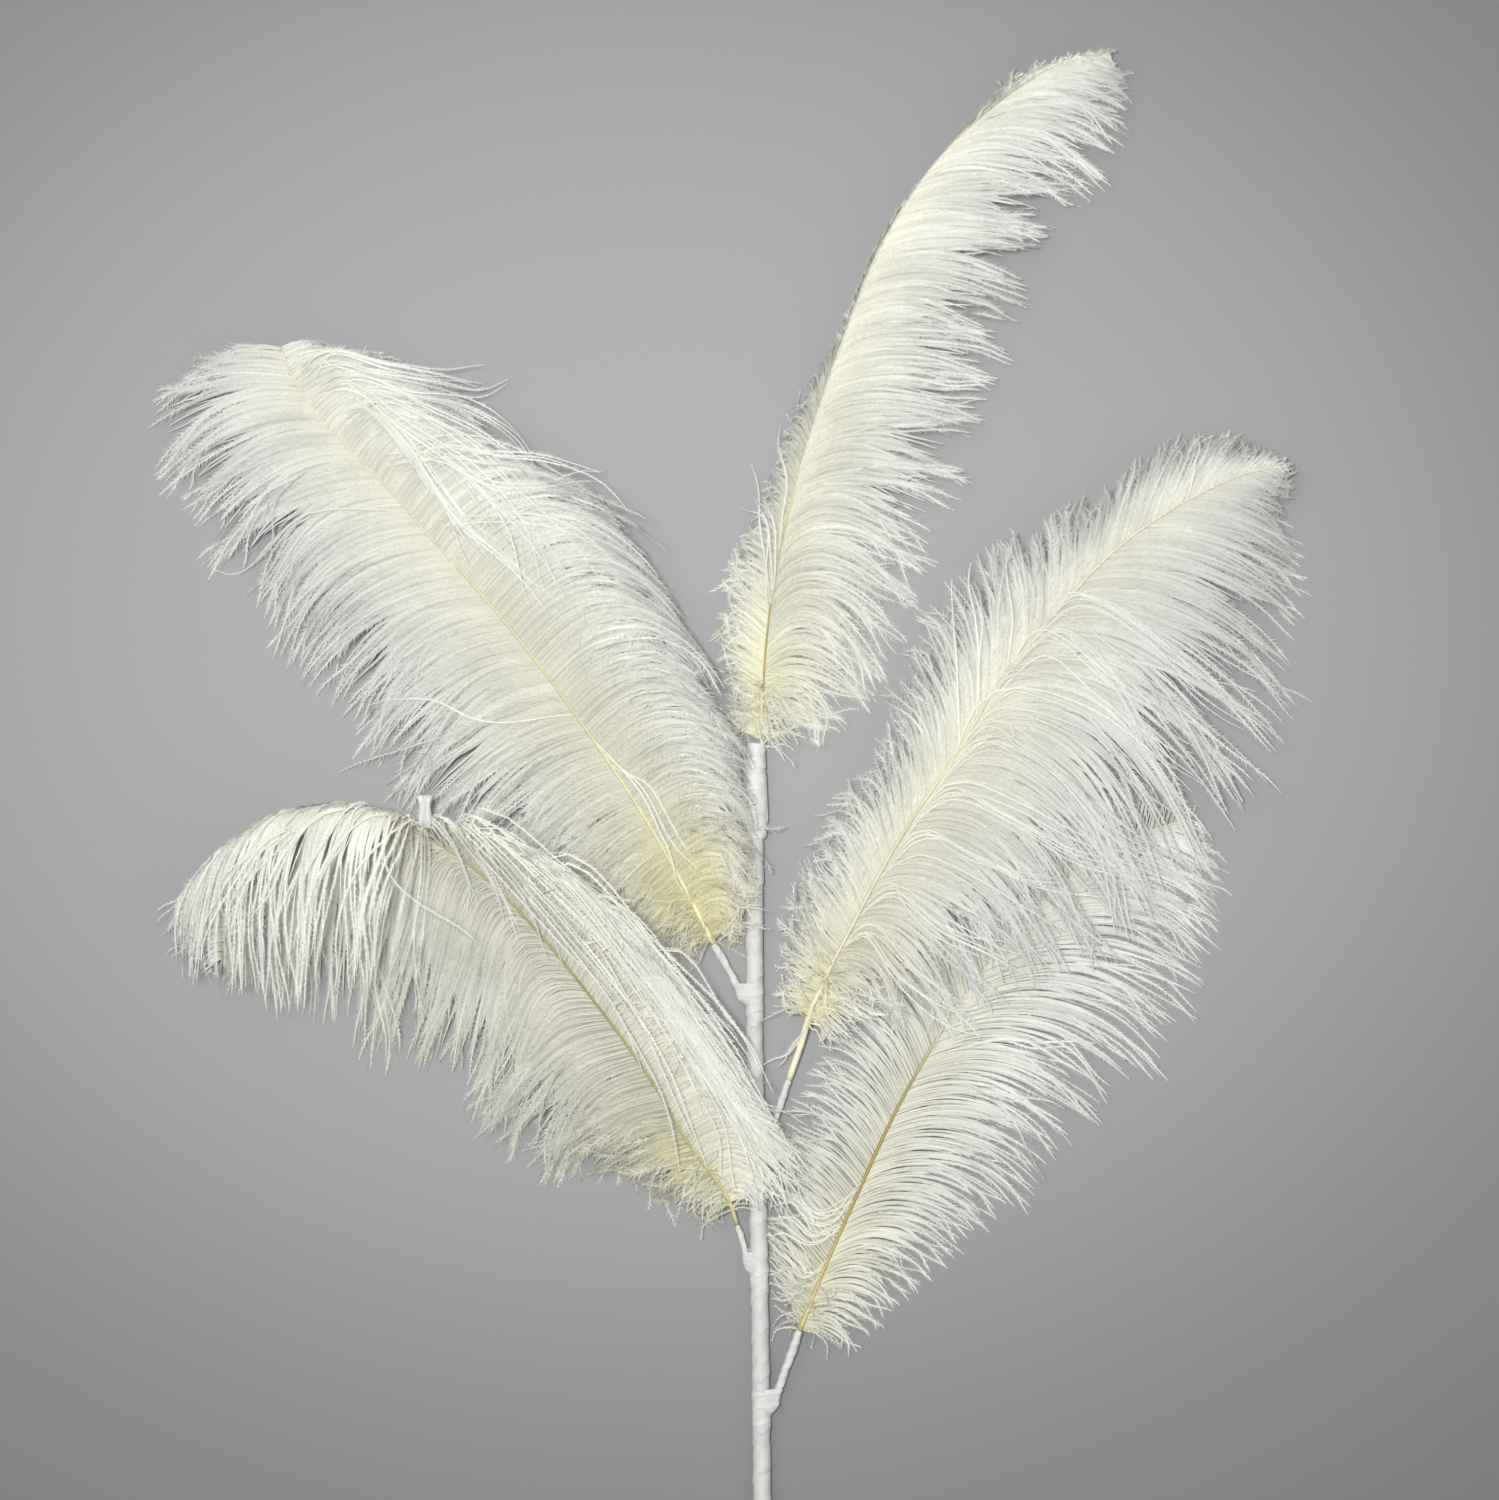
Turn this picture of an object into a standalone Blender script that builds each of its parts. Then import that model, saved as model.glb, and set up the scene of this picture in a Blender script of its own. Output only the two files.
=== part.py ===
"""Spray of five ostrich feathers bound to a paper-taped stem, lying on its back.

Layout numbers are millimetres: x to the right of the stem's line, y up the stem, z above the
surface.  An empty carries every piece, and puts the spray on z = 0 with its footprint centred.
"""
import bpy
import bmesh
import numpy as np
from mathutils import Vector

MM = 0.001
OBJECT_NAME = "ostrich_feather_spray"
GAP = 0.3                      # clearance between neighbouring pieces

# Stem: a taped rod. Each point is (x, y, z); it sags a little towards its cut foot.
STEM_RADIUS = 4.3
STEM_PATH = [(4, -165, 4.3), (2.2, 36, 5.3), (1.2, 110, 5.35), (-1.4, 230, 5.4),
             (-1.2, 300, 5.9), (-0.8, 345, 6.3), (-0.85, 350, 6.3)]

# Twigs: each lies beside the stem under its binding, then leaves towards one quill.
TWIGS = {
    "upper_left": {
        "radius": 2.0,
        "path": [(-8.1, 243.5, 5.4), (-8.2, 251, 5.4), (-9.8, 256.5, 5.6), (-15.2, 266.5, 6.3),
                 (-21.78, 277.66, 6.95)],
        "binding": (258, 241.5),
    },
    "upper_right": {
        "radius": 1.8,
        "path": [(6.7, 163, 5.3), (6.7, 176, 5.4), (7.9, 186, 5.9), (15.85, 209.6, 7.9)],
        "binding": (184, 161),
    },
    "lower_left": {
        "radius": 1.5,
        "path": [(-5.1, 107, 5.3), (-5.2, 119, 5.3), (-6.1, 125, 5.6), (-9.85, 136.6, 6.95)],
        "binding": (124, 105),
    },
    "lower_right": {
        "radius": 2.1,
        "path": [(8.95, 37.5, 5.2), (8.85, 46, 5.2), (9.9, 52, 5.3), (21.36, 83.65, 6.95)],
        "binding": (54, 35.5),
    },
}
TAPE_WALL = 0.7                # a binding's wall, outside its clearance
TWIG_SLEEVE_INSET = 1.0        # how far a twig's sleeve stops short of its binding's ends
BORE_RUN_OUT = 5.0             # how far a bore runs on, past the end that is open

# Collar that holds the top quill: (point, radius) from its mouth down, with the tape's step.
COLLAR = [
    ((-0.5, 378.5, 6.9), 4.6), ((-1.6, 366, 6.7), 6.2), ((-1.3, 365.4, 6.7), 5.7),
    ((-0.8, 347, 6.3), 6.0), ((-0.7, 333, 6.2), 5.8), ((-0.7, 330.5, 6.2), 5.1),
]

# Tab of clear tape behind the arched feather's crest: half-outline widths up its height.
TAB_CENTRE_X = -165.2
TAB_OUTLINE = [(336, 2.6), (343, 3.2), (347, 2.7), (352.5, 3.8)]     # (y, half width)
TAB_Z = 41.0
TAB_THICKNESS = 0.5

# Feathers. "rachis" runs from the quill to the tip. A guide barb is (place along the rachis
# from 0 to 1, pull point, tip): a curve that leaves the rachis, bends at the pull point and
# ends at the tip. Barbs between two guides are blended. "hook" sharpens a side's bend.
FEATHERS = {
    "feather_top": {
        "rachis": [
            (0, 355, 6), (2, 379, 7), (4.5, 427.5, 15), (10.5, 470.5, 25),
            (23, 519, 33), (40, 571, 37), (61.5, 625, 38), (89, 667.5, 36),
            (126.5, 702.5, 31), (151.5, 717.5, 26), (173, 724, 20),
        ],
        "right": [
            (0.085, (16.5, 400, 9), (29, 374, 4)),
            (0.115, (22, 414, 11), (46, 391, 3)), (0.165, (26, 462, 17), (59, 411, 2)),
            (0.210, (28, 481, 21), (68, 430, 1)), (0.250, (29.5, 495, 25), (76, 450, 1)),
            (0.300, (36, 516, 30), (89.5, 476, 2)), (0.352, (41, 530, 34), (101.5, 499, 4)),
            (0.384, (44, 542, 37), (106.5, 515, 5)), (0.430, (51, 559, 40), (110.5, 536, 7)),
            (0.485, (57, 580, 42), (114, 559, 9)), (0.540, (65.5, 601, 43), (121.5, 582, 10)),
            (0.583, (74, 618, 43), (131, 601, 11)), (0.645, (87, 641, 42), (142.5, 623, 12)),
            (0.700, (99, 658, 40), (154, 645, 10)), (0.762, (124, 693, 37), (174.5, 659, 8)),
            (0.810, (143, 706, 33), (183.5, 674, 6)), (0.860, (156, 712.5, 29), (186, 689, 5)),
            (0.910, (165.5, 718, 25), (185, 702.5, 5)), (0.960, (172, 722, 21), (181.5, 712, 7)),
            (1.000, (175.5, 725, 18), (179.5, 720, 11)),
        ],
        "left": [
            (0.06, (-5, 384, 8), (-13.5, 388, 5)), (0.17, (-6, 437.5, 16), (-18, 446, 5)),
            (0.32, (9, 500, 22), (4, 503, 5)), (0.44, (27, 557, 22), (25.5, 557, 4)),
            (0.51, (41.5, 589, 24), (55.5, 604, 4)), (0.64, (66, 642.5, 26), (86, 658.5, 6)),
            (0.76, (100.5, 677.5, 26), (119, 688.5, 9)), (0.82, (119.5, 699, 28), (125.5, 711, 14)),
            (0.92, (151.5, 721, 24), (159, 723, 17)), (1.00, (177.5, 725.5, 18), (181.5, 724, 14)),
        ],
    },
    "feather_upper_left": {
        "rachis": [
            (-22, 278, 7), (-30.5, 295, 10), (-52.5, 335, 17), (-89, 390.5, 26),
            (-127.5, 441, 32), (-160.5, 478.5, 34), (-191, 512.5, 33), (-214, 535.5, 30),
            (-231, 559.5, 26), (-238, 576, 22),
        ],
        "right": [
            (0.01, (-16.5, 288, 12), (-9.5, 276, 8)), (0.05, (-14.5, 310, 22), (-3.5, 286, 13)),
            (0.18, (-22.5, 367.5, 52), (-3.5, 329, 18)), (0.36, (-47.5, 439, 68), (-12, 383, 22)),
            (0.53, (-84, 498, 74), (-37.5, 436, 22)), (0.66, (-121, 534, 73), (-61, 482, 22)),
            (0.78, (-160, 560, 67), (-101, 498, 22)), (0.87, (-187, 570, 55), (-135, 527, 20)),
            (0.95, (-207, 580, 38), (-156, 560, 16)), (1.00, (-226, 582, 24), (-212.5, 577, 16)),
        ],
        "left": [
            (0.01, (-28.5, 280, 7), (-35, 274, 3)), (0.11, (-51, 308, 12), (-72, 281, 2)),
            (0.18, (-73, 329, 17), (-100.5, 296, 1)), (0.36, (-124, 390, 28), (-167, 339, 1)),
            (0.53, (-173.5, 441, 36), (-206.5, 392.5, 2)), (0.66, (-211, 477.5, 38), (-235, 428, 2)),
            (0.78, (-236, 512.5, 36), (-264.5, 470.5, 2)), (0.87, (-252.5, 539, 32), (-285.5, 504, 2)),
            (0.95, (-266, 566, 26), (-302, 544, 5)), (1.00, (-256, 580, 21), (-272.5, 575, 12)),
        ],
    },
    "feather_lower_left": {
        "rachis": [
            (-10, 137, 7), (-13.5, 148, 9), (-33, 176, 16), (-52.5, 209.5, 24),
            (-79.5, 247.5, 32), (-107.5, 282.5, 38), (-134, 310.5, 42), (-160.5, 329.5, 43),
            (-188.5, 340.5, 41), (-216, 339.5, 37), (-241, 325, 31), (-258.5, 302.5, 24),
            (-267, 277.5, 15), (-269, 263, 8),
        ],
        "right": [
            (0.03, (-7.5, 154, 13), (-3.5, 146.5, 13)), (0.07, (-6, 176, 22), (12.5, 146, 14)),
            (0.11, (-7.5, 201, 33), (24, 156, 14)), (0.21, (-29, 244, 50), (11.5, 184, 14)),
            (0.32, (-56, 290, 68), (-10, 219, 20)), (0.43, (-88, 323, 82), (-39.5, 260, 46)),
            (0.49, (-104, 336, 89), (-58, 280, 54)), (0.55, (-123, 343, 92), (-80, 298, 64)),
            (0.585, (-136, 351, 93), (-97, 309, 70)), (0.600, (-143, 356, 94), (-105, 312, 73)),
            (0.622, (-170, 374, 96), (-174, 261, 66)), (0.640, (-187, 376, 95), (-190, 255, 63)),
            (0.68, (-215, 377, 90), (-221, 249, 57)), (0.73, (-248, 367, 80), (-257, 258, 46)),
            (0.80, (-277, 347, 62), (-281, 269, 34)), (0.87, (-287, 319, 42), (-290, 286, 20)),
            (0.93, (-286, 290, 23), (-286, 272, 9)), (0.98, (-276, 268, 11), (-276, 261, 4)),
        ],
        "left": [
            (0.03, (-20.5, 144, 9), (-21.5, 135, 2)), (0.07, (-33.5, 157, 12), (-46.5, 147, 1)),
            (0.16, (-64.5, 188, 19), (-92, 162, 1)), (0.27, (-94.5, 224, 28), (-128.5, 178, 1)),
            (0.32, (-104.5, 247, 31), (-131, 186, 1)), (0.43, (-124.5, 291, 37), (-146, 203, 1)),
            (0.53, (-150.5, 319, 41), (-165, 217, 1)), (0.60, (-174.5, 333, 41), (-187, 223, 1)),
            (0.68, (-205.5, 343, 37), (-216, 239, 1)), (0.75, (-232.5, 338, 31), (-241, 252, 1)),
            (0.82, (-255, 314, 22), (-257, 257, 2)), (0.90, (-262, 284, 13), (-261, 258, 2)),
            (0.98, (-266, 266, 8), (-265, 259, 2)),
        ],
        "hook": {"left": 2.2},
    },
    "feather_upper_right": {
        "rachis": [
            (16, 210, 8), (22, 227.5, 12), (26, 241.5, 17), (35, 263, 24),
            (46, 284.5, 30), (70.5, 330, 39), (98, 371.5, 45), (125.5, 416, 47),
            (151.5, 447, 46), (180.5, 476.5, 41), (216.5, 500.5, 32), (251, 515, 21),
            (266.5, 517, 15),
        ],
        "right": [
            (0.09, (31, 238, 16), (36, 231, 14)), (0.13, (48, 266, 24), (60, 242, 15)),
            (0.18, (68, 288, 31), (91, 235, 16)), (0.27, (96, 330, 43), (134, 262.5, 18)),
            (0.39, (129, 374, 50), (175.5, 289, 18)), (0.50, (164, 422.5, 53), (218, 323, 17)),
            (0.62, (189, 452, 52), (255, 383, 9)), (0.72, (213.5, 475, 47), (265, 432, 1)),
            (0.82, (235.5, 493, 37), (267, 473, 1)), (0.91, (253.5, 507, 25), (264.5, 496, 5)),
            (0.99, (266.5, 516, 15), (267.5, 513, 12)),
        ],
        "left": [
            (0.09, (19, 243, 15), (9.5, 247, 11)), (0.15, (25.5, 276, 25), (13.5, 291, 13)),
            (0.26, (50, 332, 37), (36.5, 342, 14)), (0.33, (71, 359, 41), (63.5, 374.5, 14)),
            (0.39, (85, 387, 44), (70, 405, 14)), (0.50, (114.5, 432, 47), (99.5, 455.5, 15)),
            (0.62, (143.5, 466, 47), (140, 486.5, 15)), (0.72, (173.5, 490, 44), (176.5, 506, 14)),
            (0.82, (207.5, 512, 36), (216.5, 530, 11)), (0.91, (241.5, 523, 25), (249.5, 528, 8)),
            (0.99, (266.5, 519, 15), (268, 519, 12)),
        ],
    },
    "feather_lower_right": {
        "rachis": [
            (21.5, 84, 7), (33, 113, 9), (51, 154, 12), (68, 191, 13),
            (86.5, 224.5, 14), (106.5, 255, 14), (131.5, 287.5, 13), (161.5, 315, 11),
            (191.5, 332.5, 8), (217.5, 341, 5),
        ],
        "right": [
            (0.01, (36.5, 88, 8), (48.5, 75.5, 3)), (0.05, (46.5, 110, 10), (65.5, 89.5, 1)),
            (0.16, (69, 152.5, 14), (98, 124.5, 1)), (0.28, (94.5, 190, 15), (135, 153.5, 1)),
            (0.41, (121.5, 229, 16), (166, 186.5, 1)), (0.51, (146.5, 265, 16), (197, 218, 1)),
            (0.63, (174.5, 299, 14), (221, 261, 1)), (0.81, (199.5, 328.5, 11), (229, 297, 2)),
            (1.00, (221.5, 339, 5), (226.5, 333, 4)),
        ],
        "left": [
            (0.01, (18, 97, 8), (9.5, 105.5, 5)), (0.05, (17, 114, 10), (5, 123.5, 4)),
            (0.09, (19, 131, 11), (4.5, 141, 4)),
            (0.23, (38, 176, 13), (14, 185, 3)), (0.35, (57.5, 217, 13), (32.5, 226, 3)),
            (0.46, (77.5, 254, 13), (52.5, 267.5, 3)), (0.57, (100.5, 285, 13), (78.5, 307.5, 3)),
            (0.69, (130.5, 314, 12), (117.5, 339, 3)), (0.92, (196.5, 347.5, 8), (195.5, 359, 3)),
            (1.00, (220.5, 346, 5), (222.5, 349, 4)),
        ],
    },
}

QUILL_RADIUS = {
    "feather_top": 1.1,
    "feather_upper_left": 1.3,
    "feather_lower_left": 1.1,
    "feather_upper_right": 1.7,
    "feather_lower_right": 1.45,
}
RACHIS_TIP_RADIUS = 0.5
RACHIS_RINGS = 16
LOCKS = 22                     # locks on each side of a feather
VANE_THICKNESS = 1.4
FUSED_ROWS = (0.28, 0.56)      # rows shared by neighbouring locks, as shares of a barb
FREE_ROWS = (0.8, 1.0)         # rows where each lock stands alone
FREE_WIDTHS = (0.72, 0.1)      # a lock's width at those rows, as a share of its root
TIP_STAGGER = (0.0, 0.05, 0.02, 0.08, 0.03)    # how much shorter each lock ends, in turn

# name: (colour, roughness)
FINISHES = {
    "paper_tape": ((0.80, 0.81, 0.83), 0.75),
    "clear_tape": ((0.82, 0.83, 0.82), 0.45),
    "plume_cream": ((0.83, 0.82, 0.74), 0.85),
    "plume_ivory": ((0.80, 0.80, 0.72), 0.85),
}


def clear_scene():
    for ob in list(bpy.data.objects):
        bpy.data.objects.remove(ob, do_unlink=True)


def new_collection(name):
    group = bpy.data.collections.new(name)
    bpy.context.scene.collection.children.link(group)
    return group


def finish(name):
    """One Principled material of the given finish."""
    colour, roughness = FINISHES[name]
    mat = bpy.data.materials.new(name)
    mat.use_nodes = True
    bsdf = mat.node_tree.nodes["Principled BSDF"]
    bsdf.inputs["Base Color"].default_value = (*colour, 1.0)
    bsdf.inputs["Roughness"].default_value = roughness
    bsdf.inputs["Metallic"].default_value = 0.0
    mat.diffuse_color = (*colour, 1.0)
    return mat


def blend(keys, values, places):
    """Smooth curve through values at the given keys, read at the given places."""
    keys = np.asarray(keys, float)
    values = np.asarray(values, float)
    step = np.diff(keys)
    rise = np.diff(values, axis=0) / step[:, None]
    slope = np.vstack([rise[:1], rise, rise[-1:]])
    weight = np.concatenate([step[:1], step, step[-1:]])[:, None]
    slope = (slope[:-1] * weight[1:] + slope[1:] * weight[:-1]) / (weight[1:] + weight[:-1])
    places = np.clip(np.asarray(places, float), keys[0], keys[-1])
    i = np.clip(np.searchsorted(keys, places, side="right") - 1, 0, len(keys) - 2)
    span = step[i][:, None]
    u = (places - keys[i])[:, None] / span
    near = (2 * u**3 - 3 * u**2 + 1) * values[i] + (u**3 - 2 * u**2 + u) * span * slope[i]
    far = (3 * u**2 - 2 * u**3) * values[i + 1] + (u**3 - u**2) * span * slope[i + 1]
    return near + far


def rachis_points(feather, places):
    """Points on a feather's rachis at places from 0 (quill) to 1 (tip)."""
    points = np.asarray(feather["rachis"], float)
    run = np.cumsum(np.linalg.norm(np.diff(points, axis=0), axis=1))
    keys = np.concatenate([[0.0], run]) / run[-1]
    return blend(keys, points, places)


def barb_point(feather, side, place, share):
    """Point at a share of the barb that leaves the rachis at a place."""
    guides = feather[side]
    keys = [guide[0] for guide in guides]
    root = rachis_points(feather, [place])[0]
    pull = blend(keys, [guide[1] for guide in guides], [place])[0]
    tip = blend(keys, [guide[2] for guide in guides], [place])[0]
    hook = feather.get("hook", {}).get(side, 1.0)
    a = (1 - share)**2
    b = 2 * share * (1 - share) * hook
    c = share**2
    return (a * root + b * pull + c * tip) / (a + b + c)


def as_mesh(ob):
    """Replace a curve object by the closed mesh it draws."""
    bpy.context.view_layer.update()
    evaluated = ob.evaluated_get(bpy.context.evaluated_depsgraph_get())
    mesh = bpy.data.meshes.new_from_object(evaluated)
    bm = bmesh.new()
    bm.from_mesh(mesh)
    bmesh.ops.remove_doubles(bm, verts=bm.verts, dist=0.000001)
    bmesh.ops.recalc_face_normals(bm, faces=bm.faces)
    bm.to_mesh(mesh)
    bm.free()
    name = ob.name
    group = ob.users_collection[0]
    matrix = ob.matrix_world.copy()
    bpy.data.objects.remove(ob, do_unlink=True)
    solid = bpy.data.objects.new(name, mesh)
    solid.matrix_world = matrix
    group.objects.link(solid)
    return solid


def tube(name, points, radii, group):
    """Round bar through the points, closed at both ends."""
    curve = bpy.data.curves.new(name, "CURVE")
    curve.dimensions = "3D"
    curve.bevel_depth = MM
    curve.bevel_resolution = 2
    curve.use_fill_caps = True
    spline = curve.splines.new("POLY")
    spline.points.add(len(points) - 1)
    for knot, point, radius in zip(spline.points, points, radii):
        knot.co = (*(Vector(point) * MM), 1.0)
        knot.radius = radius
    ob = bpy.data.objects.new(name, curve)
    group.objects.link(ob)
    return as_mesh(ob)


def even_tube(name, points, radius, group):
    return tube(name, points, [radius] * len(points), group)


def boolean(target, operation, tool):
    modifier = target.modifiers.new(tool.name, "BOOLEAN")
    modifier.operation = operation
    modifier.solver = "EXACT"
    modifier.object = tool


def path_between(path, high, low):
    """The stretch of a path, from its high end to its low end in y, as points."""
    ordered = np.array(sorted(path, key=lambda point: point[1]), float)
    inner = [tuple(p) for p in ordered if low < p[1] < high]
    ends = []
    for y in (low, high):
        ends.append(tuple(float(np.interp(y, ordered[:, 1], ordered[:, axis])) for axis in range(3)))
    return [ends[0], *inner, ends[1]]


def extend(path, amount):
    """The path, carried on past both ends by an amount."""
    first = Vector(path[0]) - (Vector(path[1]) - Vector(path[0])).normalized() * amount
    last = Vector(path[-1]) + (Vector(path[-1]) - Vector(path[-2])).normalized() * amount
    return [tuple(first), *path[1:-1], tuple(last)]


def build_stem(parts, paper):
    stem = even_tube("stem", STEM_PATH, STEM_RADIUS, parts)
    stem.data.materials.append(paper)


def build_twigs(parts, paper):
    for place, twig in TWIGS.items():
        ob = even_tube(f"twig_{place}", twig["path"], twig["radius"], parts)
        ob.data.materials.append(paper)


def build_bindings(parts, cutters, paper):
    """Tape sleeves: a wall round the stem joined to a wall round the twig, bored for both."""
    stem_bore = even_tube("stem_bore", extend(STEM_PATH, GAP), STEM_RADIUS + GAP, cutters)
    wall = GAP + TAPE_WALL
    for place, twig in TWIGS.items():
        high, low = twig["binding"]
        sleeve = even_tube(f"binding_{place}", path_between(STEM_PATH, high, low),
                           STEM_RADIUS + wall, parts)
        twig_run = path_between(extend(twig["path"], BORE_RUN_OUT), high - TWIG_SLEEVE_INSET,
                                low + TWIG_SLEEVE_INSET / 2)
        twig_sleeve = even_tube(f"twig_sleeve_{place}", twig_run, twig["radius"] + wall, cutters)
        twig_bore = even_tube(f"twig_bore_{place}", extend(twig["path"], GAP),
                              twig["radius"] + GAP, cutters)
        boolean(sleeve, "UNION", twig_sleeve)
        boolean(sleeve, "DIFFERENCE", stem_bore)
        boolean(sleeve, "DIFFERENCE", twig_bore)
        sleeve.data.materials.append(paper)
    collar = tube("binding_top", [point for point, _ in COLLAR],
                  [radius for _, radius in COLLAR], parts)
    quill = FEATHERS["feather_top"]["rachis"][:3]
    quill_bore = even_tube("quill_bore", extend(quill, GAP),
                           QUILL_RADIUS["feather_top"] + GAP, cutters)
    boolean(collar, "DIFFERENCE", stem_bore)
    boolean(collar, "DIFFERENCE", quill_bore)
    collar.data.materials.append(paper)


def build_tab(parts, clear):
    """Pinched tab: a flat outline given a thickness."""
    curve = bpy.data.curves.new("tape_tab", "CURVE")
    curve.dimensions = "2D"
    curve.fill_mode = "BOTH"
    curve.extrude = TAB_THICKNESS * MM / 2
    right = [(half, y) for y, half in TAB_OUTLINE]
    left = [(-half, y) for y, half in reversed(TAB_OUTLINE)]
    spline = curve.splines.new("POLY")
    spline.points.add(len(right) + len(left) - 1)
    for knot, (x, y) in zip(spline.points, right + left):
        knot.co = ((TAB_CENTRE_X + x) * MM, y * MM, 0.0, 1.0)
    spline.use_cyclic_u = True
    ob = bpy.data.objects.new("tape_tab", curve)
    ob.location = (0, 0, TAB_Z * MM)
    parts.objects.link(ob)
    tab = as_mesh(ob)
    tab.data.materials.append(clear)


def vane_sheet(name, feather, parts):
    """Both vanes as one open sheet of locks: joined near the rachis, free towards the tips."""
    bm = bmesh.new()
    first = max(feather[side][0][0] for side in ("right", "left"))
    last = min(feather[side][-1][0] for side in ("right", "left"))
    cuts = np.linspace(first, last, LOCKS + 1)

    def vertex(side, place, share):
        return bm.verts.new(barb_point(feather, side, place, share) * MM)

    spine = [bm.verts.new(point * MM) for point in rachis_points(feather, cuts)]
    for side, turn in (("right", 1), ("left", -1)):
        joined = [spine]
        for share in FUSED_ROWS:
            joined.append([vertex(side, place, share) for place in cuts])
        for lock in range(LOCKS):
            middle = (cuts[lock] + cuts[lock + 1]) / 2
            half = (cuts[lock + 1] - cuts[lock]) / 2
            short = 1 - TIP_STAGGER[lock % len(TIP_STAGGER)]
            pairs = [(row[lock], row[lock + 1]) for row in joined]
            for share, width in zip(FREE_ROWS, FREE_WIDTHS):
                low = vertex(side, middle - half * width, share * short)
                high = vertex(side, middle + half * width, share * short)
                pairs.append((low, high))
            for (a, b), (c, d) in zip(pairs, pairs[1:]):
                bm.faces.new((a, c, d, b)[::turn])
    mesh = bpy.data.meshes.new(name)
    bm.to_mesh(mesh)
    bm.free()
    ob = bpy.data.objects.new(name, mesh)
    parts.objects.link(ob)
    return ob


def build_feathers(parts, cutters, cream, ivory):
    for name, feather in FEATHERS.items():
        vanes = vane_sheet(name, feather, parts)
        solidify = vanes.modifiers.new("thickness", "SOLIDIFY")
        solidify.thickness = VANE_THICKNESS * MM
        solidify.offset = 0.0
        places = np.linspace(0, 1, RACHIS_RINGS)
        radii = np.interp(places, (0, 1), (QUILL_RADIUS[name], RACHIS_TIP_RADIUS))
        rachis = tube(f"{name}_rachis", rachis_points(feather, places), radii, cutters)
        boolean(vanes, "UNION", rachis)
        mat = ivory if name.endswith("right") else cream
        vanes.data.materials.append(mat)
        rachis.data.materials.append(mat)


def rest_on_floor(groups):
    """Parent every object to one empty, and centre the footprint with the lowest point at 0."""
    bpy.context.view_layer.update()
    corners = []
    depsgraph = bpy.context.evaluated_depsgraph_get()
    for ob in groups[0].objects:
        solid = ob.evaluated_get(depsgraph)
        corners += [solid.matrix_world @ Vector(corner) for corner in solid.bound_box]
    low = Vector(min(corner[axis] for corner in corners) for axis in range(3))
    high = Vector(max(corner[axis] for corner in corners) for axis in range(3))
    carrier = bpy.data.objects.new("spray_carrier", None)
    groups[0].objects.link(carrier)
    carrier.location = (-(low.x + high.x) / 2, -(low.y + high.y) / 2, -low.z)
    for group in groups:
        for ob in group.objects:
            if ob is not carrier:
                ob.parent = carrier


def main():
    clear_scene()
    parts = new_collection(OBJECT_NAME)
    cutters = new_collection("cutters")
    paper = finish("paper_tape")
    build_stem(parts, paper)
    build_twigs(parts, paper)
    build_bindings(parts, cutters, paper)
    build_tab(parts, finish("clear_tape"))
    build_feathers(parts, cutters, finish("plume_cream"), finish("plume_ivory"))
    for ob in cutters.objects:
        ob.hide_render = True
        ob.display_type = "WIRE"
    rest_on_floor((parts, cutters))


main()
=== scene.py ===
"""Looks for the ostrich feather spray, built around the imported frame.

Layout numbers are millimetres, as in the part's source: x to the right of the stem's line,
y up the stem, z above the surface. SHIFT carries them to the row frame.
"""

import bpy
import numpy as np
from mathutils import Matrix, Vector


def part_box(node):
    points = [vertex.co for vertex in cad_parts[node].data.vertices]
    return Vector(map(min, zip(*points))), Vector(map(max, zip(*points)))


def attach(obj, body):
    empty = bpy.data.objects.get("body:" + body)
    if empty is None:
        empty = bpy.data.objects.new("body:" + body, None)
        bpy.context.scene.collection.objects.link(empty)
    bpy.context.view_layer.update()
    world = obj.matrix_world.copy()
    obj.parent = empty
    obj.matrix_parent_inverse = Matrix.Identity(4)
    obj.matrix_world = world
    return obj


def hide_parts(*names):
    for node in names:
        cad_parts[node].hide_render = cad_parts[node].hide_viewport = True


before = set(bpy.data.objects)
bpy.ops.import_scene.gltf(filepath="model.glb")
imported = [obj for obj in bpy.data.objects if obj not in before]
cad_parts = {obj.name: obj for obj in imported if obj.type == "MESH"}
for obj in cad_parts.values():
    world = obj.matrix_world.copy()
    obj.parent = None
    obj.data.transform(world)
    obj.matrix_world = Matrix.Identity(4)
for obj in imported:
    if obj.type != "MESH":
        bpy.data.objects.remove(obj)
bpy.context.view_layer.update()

MM = 0.001
UP = np.array([0.0, 0.0, 1.0])

# The tape tab's centre is known in the layout, so it gives the layout's place in the row.
TAB_CENTRE = np.array([-165.2, 344.25, 41.0])
TAB_LOW, TAB_HIGH = (np.array(corner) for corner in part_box("tape_tab"))
SHIFT = (TAB_LOW + TAB_HIGH) / 2 / MM - TAB_CENTRE

# Some spots are given in pixels of the photograph, right and down from its corner.
PIXEL = 0.5                    # its size in mm
STEM_COLUMN = 757              # the pixel column of the stem's line
PHOTO_HEIGHT = 1500

FLOOR_GAP, FLOOR_SPREAD = 0.4, 0.6     # a barb's lowest height, and how far that varies
LOWEST = 0.1                   # nothing at all reaches lower

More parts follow.
